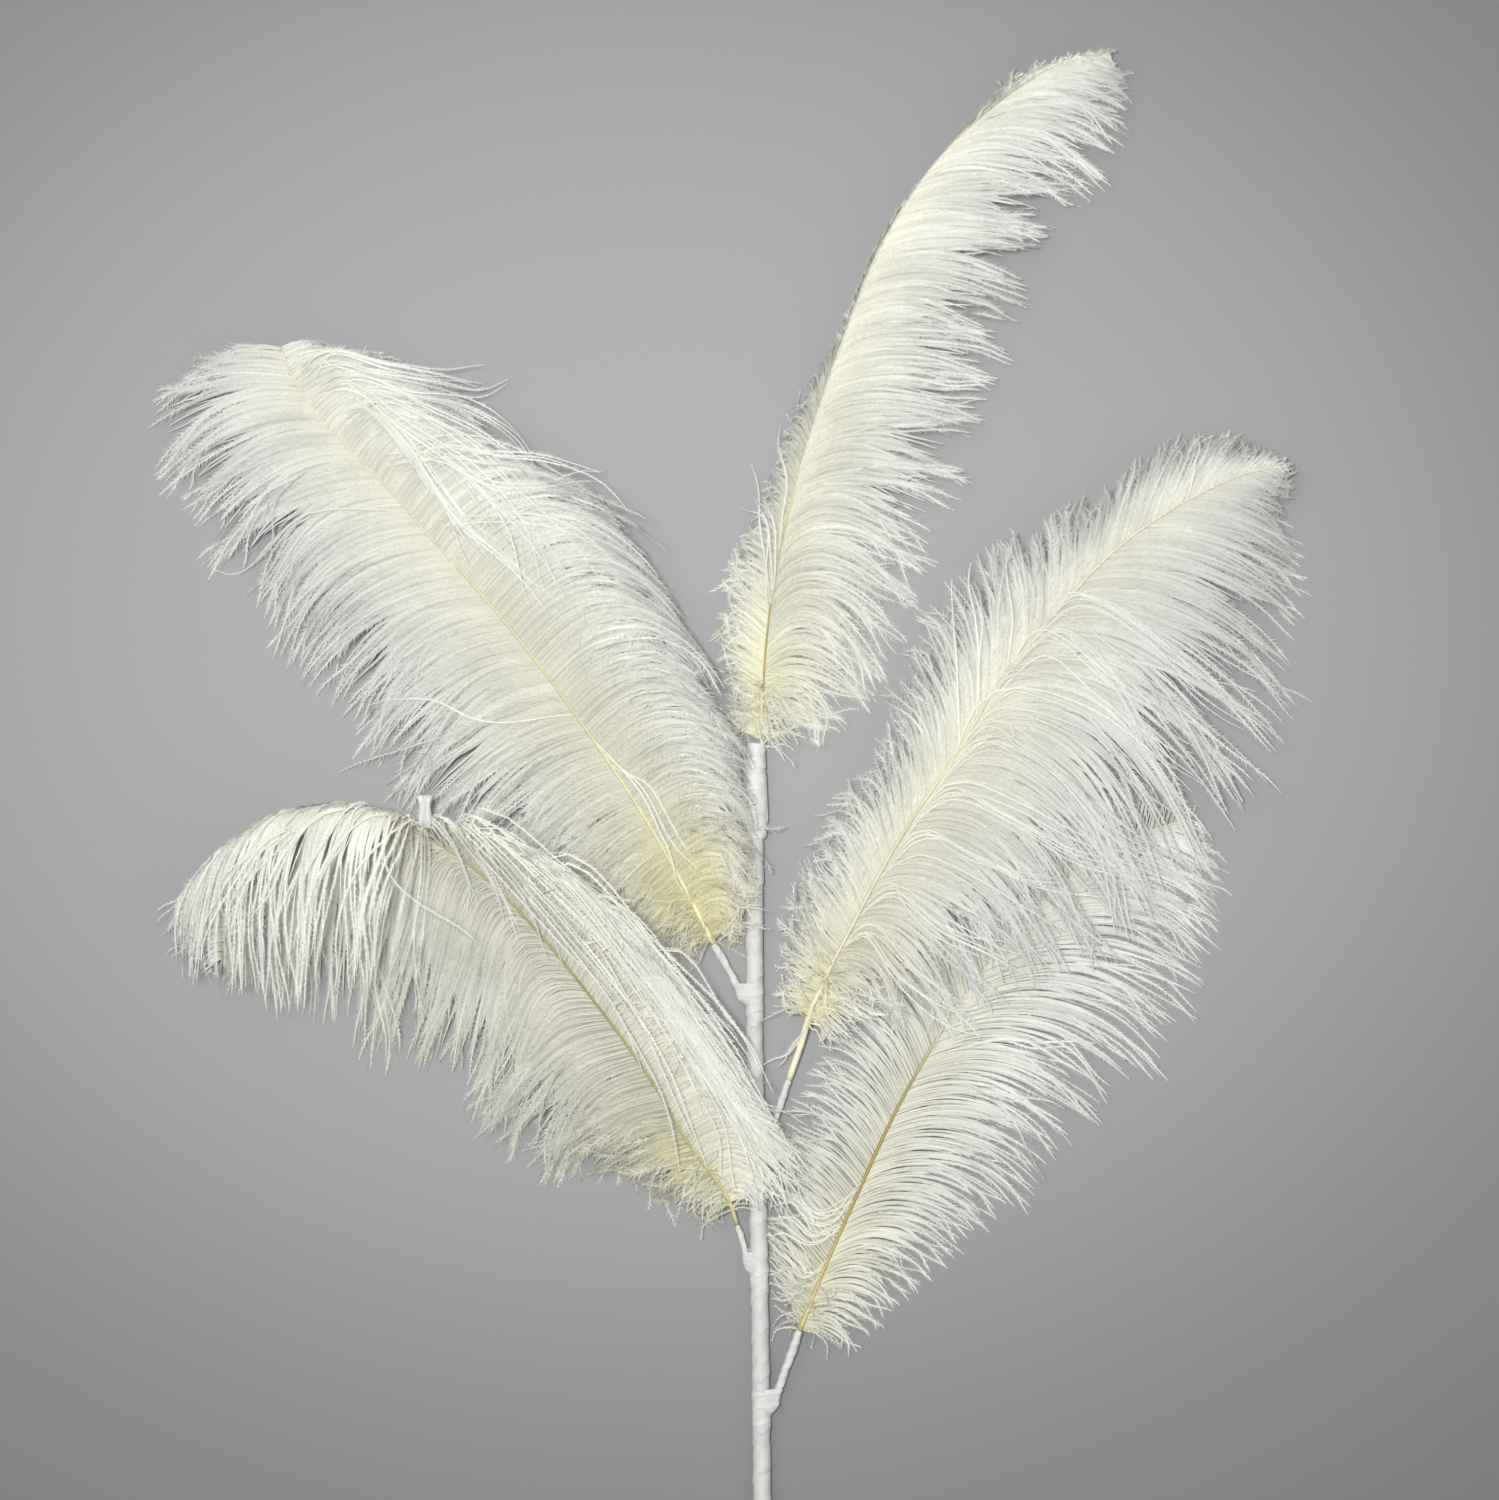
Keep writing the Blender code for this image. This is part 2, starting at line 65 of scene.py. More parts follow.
# Feathers. "rachis" runs from the quill to the tip. A guide barb is (place along the rachis
# from 0 to 1, pull point, tip): a curve that leaves the rachis, bends at the pull point and
# ends at the tip. Barbs between two guides are blended. "hook" sharpens a side's bend.
FEATHERS = {
    "feather_top": {
        "rachis": [
            (0, 355, 6), (2, 379, 7), (4.5, 427.5, 15), (10.5, 470.5, 25),
            (23, 519, 33), (40, 571, 37), (61.5, 625, 38), (89, 667.5, 36),
            (126.5, 702.5, 31), (151.5, 717.5, 26), (173, 724, 20),
        ],
        "right": [
            (0.085, (16.5, 400, 9), (29, 374, 4)),
            (0.115, (22, 414, 11), (46, 391, 3)), (0.165, (26, 462, 17), (59, 411, 2)),
            (0.210, (28, 481, 21), (68, 430, 1)), (0.250, (29.5, 495, 25), (76, 450, 1)),
            (0.300, (36, 516, 30), (89.5, 476, 2)), (0.352, (41, 530, 34), (101.5, 499, 4)),
            (0.384, (44, 542, 37), (106.5, 515, 5)), (0.430, (51, 559, 40), (110.5, 536, 7)),
            (0.485, (57, 580, 42), (114, 559, 9)), (0.540, (65.5, 601, 43), (121.5, 582, 10)),
            (0.583, (74, 618, 43), (131, 601, 11)), (0.645, (87, 641, 42), (142.5, 623, 12)),
            (0.700, (99, 658, 40), (154, 645, 10)), (0.762, (124, 693, 37), (174.5, 659, 8)),
            (0.810, (143, 706, 33), (183.5, 674, 6)), (0.860, (156, 712.5, 29), (186, 689, 5)),
            (0.910, (165.5, 718, 25), (185, 702.5, 5)), (0.960, (172, 722, 21), (181.5, 712, 7)),
            (1.000, (175.5, 725, 18), (179.5, 720, 11)),
        ],
        "left": [
            (0.06, (-5, 384, 8), (-13.5, 388, 5)), (0.17, (-6, 437.5, 16), (-18, 446, 5)),
            (0.32, (9, 500, 22), (4, 503, 5)), (0.44, (27, 557, 22), (25.5, 557, 4)),
            (0.51, (41.5, 589, 24), (55.5, 604, 4)), (0.64, (66, 642.5, 26), (86, 658.5, 6)),
            (0.76, (100.5, 677.5, 26), (119, 688.5, 9)), (0.82, (119.5, 699, 28), (125.5, 711, 14)),
            (0.92, (151.5, 721, 24), (159, 723, 17)), (1.00, (177.5, 725.5, 18), (181.5, 724, 14)),
        ],
    },
    "feather_upper_left": {
        "rachis": [
            (-22, 278, 7), (-30.5, 295, 10), (-52.5, 335, 17), (-89, 390.5, 26),
            (-127.5, 441, 32), (-160.5, 478.5, 34), (-191, 512.5, 33), (-214, 535.5, 30),
            (-231, 559.5, 26), (-238, 576, 22),
        ],
        "right": [
            (0.01, (-16.5, 288, 12), (-9.5, 276, 8)), (0.05, (-14.5, 310, 22), (-3.5, 286, 13)),
            (0.18, (-22.5, 367.5, 52), (-3.5, 329, 18)), (0.36, (-47.5, 439, 68), (-12, 383, 22)),
            (0.53, (-84, 498, 74), (-37.5, 436, 22)), (0.66, (-121, 534, 73), (-61, 482, 22)),
            (0.78, (-160, 560, 67), (-101, 498, 22)), (0.87, (-187, 570, 55), (-135, 527, 20)),
            (0.95, (-207, 580, 38), (-156, 560, 16)), (1.00, (-226, 582, 24), (-212.5, 577, 16)),
        ],
        "left": [
            (0.01, (-28.5, 280, 7), (-35, 274, 3)), (0.11, (-51, 308, 12), (-72, 281, 2)),
            (0.18, (-73, 329, 17), (-100.5, 296, 1)), (0.36, (-124, 390, 28), (-167, 339, 1)),
            (0.53, (-173.5, 441, 36), (-206.5, 392.5, 2)),
            (0.66, (-211, 477.5, 38), (-235, 428, 2)), (0.78, (-236, 512.5, 36), (-264.5, 470.5, 2)),
            (0.87, (-252.5, 539, 32), (-285.5, 504, 2)),
            (0.95, (-266, 566, 26), (-302, 544, 5)), (1.00, (-256, 580, 21), (-272.5, 575, 12)),
        ],
    },
    "feather_lower_left": {
        "rachis": [
            (-10, 137, 7), (-13.5, 148, 9), (-33, 176, 16), (-52.5, 209.5, 24),
            (-79.5, 247.5, 32), (-107.5, 282.5, 38), (-134, 310.5, 42), (-160.5, 329.5, 43),
            (-188.5, 340.5, 41), (-216, 339.5, 37), (-241, 325, 31), (-258.5, 302.5, 24),
            (-267, 277.5, 15), (-269, 263, 8),
        ],
        "right": [
            (0.03, (-7.5, 154, 13), (-3.5, 146.5, 13)), (0.07, (-6, 176, 22), (12.5, 146, 14)),
            (0.11, (-7.5, 201, 33), (24, 156, 14)), (0.21, (-32, 240, 50), (11.5, 184, 14)),
            (0.32, (-60, 285, 68), (-10, 219, 20)), (0.43, (-91, 319, 82), (-39.5, 260, 46)),
            (0.49, (-104, 336, 89), (-58, 280, 54)), (0.55, (-123, 343, 92), (-80, 298, 64)),
            (0.585, (-136, 351, 93), (-97, 309, 70)), (0.600, (-143, 356, 94), (-105, 312, 73)),
            (0.622, (-186, 374, 96), (-180, 263, 66)), (0.640, (-204, 375, 95), (-199, 256, 63)),
            (0.68, (-232, 376, 90), (-228, 249, 57)), (0.73, (-259, 366, 80), (-259, 258, 46)),
            (0.80, (-277, 347, 62), (-281, 269, 34)), (0.87, (-287, 319, 42), (-290, 286, 20)),
            (0.93, (-286, 290, 23), (-286, 272, 9)), (0.98, (-276, 268, 11), (-276, 261, 4)),
        ],
        "left": [
            (0.03, (-20.5, 144, 9), (-21.5, 135, 2)), (0.07, (-33.5, 157, 12), (-46.5, 147, 1)),
            (0.16, (-64.5, 188, 19), (-92, 162, 1)), (0.27, (-94.5, 224, 28), (-128.5, 178, 1)),
            (0.32, (-104.5, 247, 31), (-131, 186, 1)), (0.43, (-124.5, 291, 37), (-146, 203, 1)),
            (0.53, (-150.5, 319, 41), (-165, 217, 1)), (0.60, (-174.5, 333, 41), (-187, 223, 1)),
            (0.68, (-205.5, 343, 37), (-216, 239, 1)), (0.75, (-232.5, 338, 31), (-241, 252, 1)),
            (0.82, (-255, 314, 22), (-257, 257, 2)), (0.90, (-262, 284, 13), (-261, 258, 2)),
            (0.98, (-266, 266, 8), (-265, 259, 2)),
        ],
        "hook": {"left": 2.2},
    },
    "feather_upper_right": {
        "rachis": [
            (16, 210, 8), (22, 227.5, 12), (26, 241.5, 17), (35, 263, 24),
            (46, 284.5, 30), (70.5, 330, 39), (98, 371.5, 45), (125.5, 416, 47),
            (151.5, 447, 46), (180.5, 476.5, 41), (216.5, 500.5, 32), (251, 515, 21),
            (266.5, 517, 15),
        ],
        "right": [
            (0.09, (31, 238, 16), (36, 231, 14)), (0.13, (48, 266, 24), (60, 242, 15)),
            (0.18, (68, 288, 31), (91, 235, 16)), (0.27, (96, 330, 43), (134, 262.5, 18)),
            (0.39, (129, 374, 50), (175.5, 289, 18)), (0.50, (164, 422.5, 53), (218, 323, 17)),
            (0.62, (189, 452, 52), (255, 383, 9)), (0.72, (213.5, 475, 47), (265, 432, 1)),
            (0.82, (235.5, 493, 37), (267, 473, 1)), (0.91, (253.5, 507, 25), (264.5, 496, 5)),
            (0.99, (266.5, 516, 15), (267.5, 513, 12)),
        ],
        "left": [
            (0.09, (19, 243, 15), (9.5, 247, 11)), (0.15, (25.5, 276, 25), (13.5, 291, 13)),
            (0.26, (50, 332, 37), (36.5, 342, 14)), (0.33, (71, 359, 41), (63.5, 374.5, 14)),
            (0.39, (85, 387, 44), (70, 405, 14)), (0.50, (114.5, 432, 47), (99.5, 455.5, 15)),
            (0.62, (143.5, 466, 47), (140, 486.5, 15)), (0.72, (173.5, 490, 44), (176.5, 506, 14)),
            (0.82, (207.5, 512, 36), (216.5, 530, 11)), (0.91, (241.5, 523, 25), (249.5, 528, 8)),
            (0.99, (266.5, 519, 15), (268, 519, 12)),
        ],
    },
    "feather_lower_right": {
        "rachis": [
            (21.5, 84, 7), (33, 113, 9), (51, 154, 12), (68, 191, 13),
            (86.5, 224.5, 14), (106.5, 255, 14), (131.5, 287.5, 13), (161.5, 315, 11),
            (191.5, 332.5, 8), (217.5, 341, 5),
        ],
        "right": [
            (0.01, (36.5, 88, 8), (48.5, 75.5, 3)), (0.05, (46.5, 110, 10), (65.5, 89.5, 1)),
            (0.16, (69, 152.5, 14), (98, 124.5, 1)), (0.28, (94.5, 190, 15), (135, 153.5, 1)),
            (0.41, (121.5, 229, 16), (166, 186.5, 1)), (0.51, (146.5, 265, 16), (197, 218, 1)),
            (0.63, (174.5, 299, 14), (221, 261, 1)), (0.81, (199.5, 328.5, 11), (229, 297, 2)),
            (1.00, (221.5, 339, 5), (226.5, 333, 4)),
        ],
        "left": [
            (0.01, (18, 97, 8), (9.5, 105.5, 5)), (0.05, (17, 114, 10), (5, 123.5, 4)),
            (0.09, (19, 131, 11), (4.5, 141, 4)),
            (0.23, (38, 176, 13), (14, 185, 3)), (0.35, (57.5, 217, 13), (32.5, 226, 3)),
            (0.46, (77.5, 254, 13), (52.5, 267.5, 3)), (0.57, (100.5, 285, 13), (78.5, 307.5, 3)),
            (0.69, (130.5, 314, 12), (117.5, 339, 3)), (0.92, (196.5, 347.5, 8), (195.5, 359, 3)),
            (1.00, (220.5, 346, 5), (222.5, 349, 4)),
        ],
    },
}

# How each side's barbs look. Lengths are in mm, and "at places" means keys (place on the
# rachis, value).
# "comb": the share of a barb, near the rachis, where the barbs stand apart, and how clearly; the
# barbs below are painted darker there, as painted shade between them.
# "loose": the share where they begin to come loose. "pinch": how far they draw together in
# locks. "sway": how far locks lean. "fluff": how much more they wave at the feather's foot.
# "droop": how far the tips sag. "reach": a factor on the barbs' length, at places.
# "wide": one on the loose part's width, at places. "fuzz": one on the barbules' length.
# "fill": how far the barbs below reach, as a range of shares. "thin": a factor on that, at
# places. "under": a factor on their width. "parting": places between which no barb grows.
# "tone": a factor on the colour; on the lower right feather's left vane it is held low as
# painted shade. "gold": how yellow the foot is. "cream": how much of the cream the tips keep.
# "limit" is the feather's triangles in all.
PLAIN_SIDE = dict(comb=(0, 0), under=1.0, fluff=0.0, thin=((0, 1.0),), parting=(2.0, 3.0))
LOOKS = {
    "feather_top": {
        "seed": 11, "limit": 172000,
        "right": dict(loose=0.42, pinch=0.58, sway=4.0, fuzz=1.1, droop=-1.5,
                      wide=((0, 0.95), (0.8, 0.85), (1, 0.7)), fill=(0.55, 0.86),
                      reach=((0, 1.02), (0.6, 1.02), (0.8, 0.97)),
                      tone=1.03, gold=0.4, cream=0.1, fluff=0.7),
        "left": dict(loose=0.35, pinch=0.4, sway=2.8, fuzz=1.3, droop=0.0,
                     wide=((0, 1.0),), fill=(0.55, 0.86),
                     reach=((0, 1.0), (0.3, 1.15), (0.4, 1.25), (0.5, 0.8), (0.9, 0.92)),
                     tone=1.08, gold=0.5, cream=0.3, fluff=0.7),
    },
    "feather_upper_left": {
        "seed": 12, "limit": 188000,
        "right": dict(comb=(0.12, 0.25), loose=0.4, pinch=0.5, sway=4.0, fuzz=1.1, droop=0.5,
                      wide=((0, 0.9),), under=1.1, fill=(0.6, 0.92), reach=((0, 1.03),),
                      tone=0.98, gold=0.9, cream=0.1, fluff=1.3),
        "left": dict(loose=0.42, pinch=0.6, sway=5.0, fuzz=1.25, droop=2.0,
                     wide=((0, 0.9),), fill=(0.6, 0.92), reach=((0, 1.04),),
                     tone=0.91, gold=1.0, cream=0.1, fluff=1.3),
    },
    "feather_lower_left": {
        "seed": 13, "limit": 190000,
        "right": dict(comb=(0.09, 1.0), loose=0.4, pinch=0.3, sway=3.6, fuzz=0.6, droop=0.5,
                      wide=((0, 0.9), (0.35, 0.9), (0.56, 0.55), (0.74, 0.5), (0.9, 0.9)),
                      under=1.1, fill=(0.72, 0.96),
                      thin=((0.6, 1.0), (0.63, 0.65), (0.7, 0.7), (0.78, 0.95)),
                      reach=((0, 1.0), (0.62, 1.0), (0.7, 1.07), (0.85, 1.07), (1, 1.0)),
                      parting=(0.589, 0.623), tone=1.03, gold=0.15, cream=0.2),
        "left": dict(comb=(0.22, 1.0), loose=0.35, pinch=0.5, sway=5.5, fuzz=1.1, droop=1.0,
                     wide=((0, 0.85),), fill=(0.6, 0.9),
                     reach=((0, 0.97), (0.2, 0.98), (0.27, 1.04), (0.33, 0.95), (0.44, 0.94),
                            (0.56, 1.0)),
                     tone=0.88, gold=0.9, cream=0.5, fluff=1.2),
    },
    "feather_upper_right": {
        "seed": 14, "limit": 180000,
        "right": dict(comb=(0.12, 0.7), loose=0.42, pinch=0.74, sway=4.6, fuzz=0.95, droop=0.8,
                      wide=((0, 0.9),), under=0.9, fill=(0.54, 0.82),
                      reach=((0, 1.03), (0.6, 1.07), (0.85, 1.07), (1, 1.0)),
                      tone=0.91, gold=0.6, cream=0.0, fluff=0.8),
        "left": dict(comb=(0.1, 0.4), loose=0.4, pinch=0.4, sway=3.2, fuzz=1.2, droop=0.0,
                     wide=((0, 0.85),), under=0.8, fill=(0.58, 0.9),
                     reach=((0, 1.05), (0.6, 1.08), (0.85, 1.13)),
                     tone=0.98, gold=0.6, cream=0.1, fluff=0.8),
    },
    "feather_lower_right": {
        "seed": 15, "limit": 150000,
        "right": dict(comb=(0.45, 1.0), loose=0.55, pinch=0.35, sway=1.8, fuzz=0.8, droop=0.8,
                      wide=((0, 0.85), (0.75, 0.8), (0.9, 0.5)), under=0.4, fill=(0.5, 0.85),
                      thin=((0.75, 1.0), (0.88, 0.4)), reach=((0, 1.0),),
                      tone=0.96, gold=0.3, cream=0.05),
        # Its low tone is painted shade: the upper right feather shades this vane.
        "left": dict(comb=(0.5, 1.0), loose=0.5, pinch=0.2, sway=1.5, fuzz=0.8, droop=0.0,
                     wide=((0, 0.8), (0.7, 0.7), (0.85, 0.4)), under=0.4, fill=(0.55, 0.86),
                     thin=((0.75, 1.0), (0.88, 0.3)), reach=((0, 1.02),),
                     tone=0.86, gold=0.4, cream=0.2),
    },
}
BARBS = 280                    # barbs on each side of a feather
BARB_STEPS = 14                # segments along a barb's ribbon
FINE_STEPS = 64                # points along a barb's path, where its barbules stand
SHORT_SHARE = 0.3              # how many barbs end well inside the outline
STRAY_SHARE = 0.11             # how many leave their lock
LOCK, WISP = (4, 12), (1, 4)   # barbs in a lock, and in each wisp of it
CLUMP_SPREAD = 0.012           # clumps wider than this, across a parting, don't draw together
PARTING_REACH = 4.0            # how widely a parting's barbs are shared out beside it
BARBULE_HALF_BASE = 0.3        # as a share of the room each barbule has
BARBULE_ANGLE = 32             # degrees off the barb
UNDER = 330                    # plain barbs on each side below the others
UNDER_STEPS = 8
UNDER_GAP = 0.9
DOWN = 64                      # loose barbs round the feather's foot
WAVES = {"barbs": 1.25, "under": 0.7, "strands": 1.5, "down": 0.8}      # how far barbs wave

# Strands that lie over a vane or leave it: (place of the root, points x, y in picture
# pixels, number of barbs, spread in mm).
WISPS = {
    "feather_upper_left": [
        (0.86, [(372, 412), (395, 432), (435, 490), (478, 545), (502, 572)], 6, 12),
        (0.84, [(380, 422), (405, 450), (455, 520), (510, 570), (548, 622)], 6, 14),
        (0.85, [(385, 420), (430, 440), (490, 490), (545, 545), (600, 652)], 5, 14),
        (0.88, [(365, 400), (420, 425), (480, 460), (530, 520), (560, 590)], 8, 20),
        (0.91, [(350, 385), (410, 400), (470, 415), (515, 445), (540, 486)], 6, 14),
        (0.94, [(330, 366), (380, 376), (440, 386), (480, 392), (508, 376)], 3, 5),
        (0.95, [(320, 360), (390, 371), (435, 379), (480, 389)], 8, 8),
        (0.78, [(440, 455), (500, 465), (560, 475), (600, 492), (633, 524)], 5, 10),
        (0.80, [(430, 460), (500, 490), (550, 492), (590, 488), (624, 496)], 3, 6),
        (0.68, [(500, 520), (570, 530), (630, 565), (674, 592)], 4, 10),
        (0.30, [(640, 790), (665, 840), (690, 880), (708, 895)], 3, 16),
        (0.72, [(300, 520), (255, 560), (232, 572), (210, 566)], 1, 2),
        (0.36, [(470, 720), (430, 700), (395, 702), (352, 720)], 1, 2),
    ],
    "feather_top": [
        (0.20, [(764, 560), (757, 480), (752, 450), (746, 432)], 1, 1),
        (0.22, [(775, 560), (768, 510), (760, 490), (752, 478)], 3, 8),
        (0.27, [(785, 500), (782, 440), (781, 400), (781, 376)], 1, 1),
        (0.12, [(790, 680), (830, 712), (852, 722)], 3, 8),
        (0.08, [(770, 700), (785, 725), (800, 748)], 8, 14),
        (0.07, [(775, 712), (790, 728), (808, 738)], 8, 12),
        (0.07, [(765, 715), (772, 735), (780, 752)], 6, 12),
    ],
    "feather_lower_left": [
        (0.47, [(560, 872), (640, 948), (700, 1020), (738, 1085)], 9, 20),
        (0.40, [(610, 915), (672, 985), (722, 1060), (755, 1120)], 10, 24),
        (0.33, [(645, 965), (700, 1045), (742, 1115), (768, 1170)], 10, 26),
        (0.26, [(680, 1030), (722, 1090), (755, 1145), (776, 1195)], 10, 22),
        (0.30, [(665, 1010), (720, 1075), (765, 1115), (812, 1128)], 7, 14),
        (0.38, [(600, 895), (682, 978), (715, 1012), (744, 1054)], 2, 2),
        (0.76, [(285, 835), (243, 878), (224, 928), (227, 962)], 7, 10),
        (0.575, [(446, 820), (470, 845), (496, 890), (512, 945)], 4, 7),
        (0.585, [(436, 818), (456, 840), (474, 880), (484, 935)], 2, 5),
        (0.545, [(468, 822), (503, 853), (545, 905), (572, 965)], 5, 14),
        (0.50, [(486, 832), (550, 888), (625, 968), (672, 1045)], 8, 22),
        (0.43, [(532, 866), (608, 938), (675, 1022), (715, 1100)], 8, 22),
        (0.36, [(582, 912), (655, 990), (708, 1070), (742, 1150)], 8, 22),
        (0.28, [(635, 975), (695, 1045), (738, 1115), (765, 1185)], 8, 22),
        (0.60, [(420, 822), (402, 868), (384, 935), (372, 1000)], 5, 12),
        (0.61, [(424, 824), (418, 870), (408, 930), (396, 1005)], 5, 14),
        (0.63, [(408, 814), (385, 850), (362, 910), (352, 985)], 6, 16),
        (0.66, [(380, 810), (345, 850), (322, 905), (318, 975)], 5, 16),
        (0.70, [(345, 810), (300, 850), (278, 905), (268, 965)], 5, 16),
    ],
    "feather_upper_right": [
        (0.42, [(1000, 715), (1070, 735), (1130, 785), (1195, 850)], 5, 24),
        (0.46, [(1010, 690), (1090, 705), (1150, 775), (1205, 830)], 5, 24),
        (0.52, [(1040, 640), (1110, 685), (1180, 735), (1245, 772)], 4, 16),
        (0.58, [(1075, 600), (1150, 640), (1205, 690), (1258, 716)], 6, 14),
        (0.55, [(1060, 625), (1120, 675), (1165, 745), (1218, 786)], 6, 12),
        (0.40, [(985, 735), (1050, 770), (1105, 830), (1172, 880)], 7, 16),
        (0.34, [(950, 790), (1010, 815), (1075, 850), (1150, 870)], 6, 14),
        (0.28, [(920, 840), (975, 860), (1040, 890), (1105, 900)], 6, 14),
        (0.22, [(890, 890), (945, 925), (1000, 950), (1050, 985)], 6, 14),
        (0.17, [(865, 930), (910, 975), (955, 1005), (1000, 1020)], 6, 14),
        (0.45, [(955, 660), (952, 615), (955, 580)], 1, 3),
        (0.50, [(975, 620), (972, 590), (980, 560)], 2, 8),
        (0.56, [(1010, 600), (1004, 570), (1003, 540)], 1, 3),
        (0.86, [(1195, 470), (1203, 445), (1204, 421)], 1, 1),
        (0.10, [(800, 1040), (785, 1056), (772, 1060), (760, 1068)], 2, 2),
        (0.09, [(820, 1020), (832, 1034), (842, 1044)], 9, 8),
        (0.10, [(824, 1010), (842, 1026), (860, 1038)], 12, 12),
        (0.12, [(830, 995), (860, 1010), (885, 1025)], 10, 14),
    ],
    "feather_lower_right": [
        (0.16, [(810, 1240), (790, 1225), (772, 1215)], 8, 16),
        (0.10, [(805, 1280), (788, 1262), (772, 1252)], 8, 14),
        (0.22, [(820, 1215), (795, 1190), (775, 1180)], 6, 14),
    ],
}


def layout(column, row):
    """A picture pixel's place in the layout."""
    return (column - STEM_COLUMN) * PIXEL, (PHOTO_HEIGHT - row) * PIXEL


def unit(v):
    return v / np.maximum(np.linalg.norm(v, axis=-1, keepdims=True), 1e-9)


def ramp(x, low, high):
    t = np.clip((x - low) / (high - low), 0, 1)
    return t * t * (3 - 2 * t)


def keyed(keys, places):
    """A value given as keys (place, value), read at places."""
    return np.interp(places, *zip(*keys))


def distances(path):
    """How far along a path of straight runs each of its points lies."""
    runs = np.linalg.norm(np.diff(np.asarray(path, float), axis=0), axis=1)
    return np.concatenate([[0.0], np.cumsum(runs)])


def lengths(paths):
    return np.linalg.norm(np.diff(paths, axis=1), axis=2).sum(1)


def blend(keys, values, places):
    """Smooth curve through values at the given keys, read at the given places."""
    keys = np.asarray(keys, float)
    values = np.asarray(values, float)
    step = np.diff(keys)
    rise = np.diff(values, axis=0) / step[:, None]
    slope = np.vstack([rise[:1], rise, rise[-1:]])
    weight = np.concatenate([step[:1], step, step[-1:]])[:, None]
    slope = (slope[:-1] * weight[1:] + slope[1:] * weight[:-1]) / (weight[1:] + weight[:-1])
    places = np.clip(np.asarray(places, float), keys[0], keys[-1])
    i = np.clip(np.searchsorted(keys, places, side="right") - 1, 0, len(keys) - 2)
    span = step[i][:, None]
    u = (places - keys[i])[:, None] / span
    near = (2 * u**3 - 3 * u**2 + 1) * values[i] + (u**3 - 2 * u**2 + u) * span * slope[i]
    far = (3 * u**2 - 2 * u**3) * values[i + 1] + (u**3 - u**2) * span * slope[i + 1]
    return near + far


def rachis_points(feather, places):
    """Points on a feather's rachis at places from 0 (quill) to 1 (tip)."""
    run = distances(feather["rachis"])
    return blend(run / run[-1], feather["rachis"], places)


def sheet(feather, side, places, shares):
    """Points (barb, step, axis) at shares of the lengths of the barbs at the places."""
    keys, pulls, tips = zip(*feather[side])
    hook = feather.get("hook", {}).get(side, 1.0)
    root = rachis_points(feather, places)[:, None]
    pull = blend(keys, pulls, places)[:, None]
    tip = blend(keys, tips, places)[:, None]

    def curve(s):
        a = (1 - s)**2
        b = 2 * s * (1 - s) * hook
        c = s**2
        return (a * root + b * pull + c * tip) / (a + b + c)

    s = np.linspace(0, 1, 33)
    run = np.linalg.norm(np.diff(curve(s[None, :, None]), axis=1), axis=2).cumsum(1)
    run = np.column_stack([np.zeros(len(run)), run])
    size = run[:, -1:]
    wanted = np.minimum(shares, 1.0) * size
    inside = np.array([np.interp(w, r, s) for w, r in zip(wanted, run)])
    beyond = np.maximum(shares - 1.0, 0.0)[..., None] * size[..., None]
    return curve(inside[..., None]) + unit(tip - pull) * beyond


def barb_frames(paths, across):
    """Directions along, across and out of each barb."""
    along = unit(np.gradient(paths, axis=1))
    across = unit(across - (across * along).sum(-1, keepdims=True) * along)
    out = np.cross(along, across)
    out *= np.where(out[..., 2:] < 0, -1.0, 1.0)
    return along, across, out


def row_direction(flat):
    """The direction from each barb to the next one in a row of barbs."""
    across = np.gradient(flat, axis=0)
    across[:, :3] = across[:, 3:4]
    return across


def drift(rng, count, step):
    """Smooth noise along a row of barbs, with a new value about every step barbs."""
    knots = np.arange(-1, count // step + 3)
    values = rng.normal(0, 1, (len(knots), 1))
    return blend(knots, values, np.arange(count) / step)[:, 0]


def clumps(rng, count, smallest, largest):
    """Which clump each barb belongs to."""
    sizes = []
    while sum(sizes) < count:
        sizes.append(int(rng.integers(smallest, largest + 1)))
    return np.repeat(np.arange(len(sizes)), sizes)[:count]


def by_clump(rng, clump, middle, spread):
    """A random number for each clump, given to all its barbs."""
    return rng.normal(middle, spread, clump.max() + 1)[clump]


def gathered(feather, side, places, shares, paths, flat, clump, pinch, low, u):
    """The barbs drawn towards the middle of their clump, from a share of their length on."""
    members = np.bincount(clump)
    middle = (np.bincount(clump, places) / members)[clump]
    core = sheet(feather, side, middle, shares)
    spread = (np.bincount(clump, abs(places - middle)) / members)[clump]
    pinch = np.where(spread < CLUMP_SPREAD, pinch, 0.0)
    return paths + (core - flat) * pinch[:, None, None] * ramp(u, low, 1.05)[..., None]


def waved(paths, frames, u, rng, amount):
    """Each path with slow waves and a bent tip of its own."""
    _, across, out = frames
    count = len(paths)
    for scale, direction in ((1.0, across), (0.8, out)):
        wave = rng.uniform(0.6, 1.9, (count, 1)) * u + rng.random((count, 1))
        swing = rng.normal(0, scale * amount, (count, 1)) * np.sin(2 * np.pi * wave) * u
        paths = paths + direction * swing[..., None]
    bend = rng.normal(0, 2.6 * amount, (count, 1)) * ramp(u, 0.65, 1.0)**2
    return paths + across * bend[..., None]


def settled(paths, across, places, u, rng):
    """A row of barbs held above the floor: paths, frames, places on the rachis and shares."""
    paths[..., 2] = np.maximum(
        paths[..., 2], FLOOR_GAP + rng.random((len(paths), 1)) * FLOOR_SPREAD)
    return paths, barb_frames(paths, across), places, u


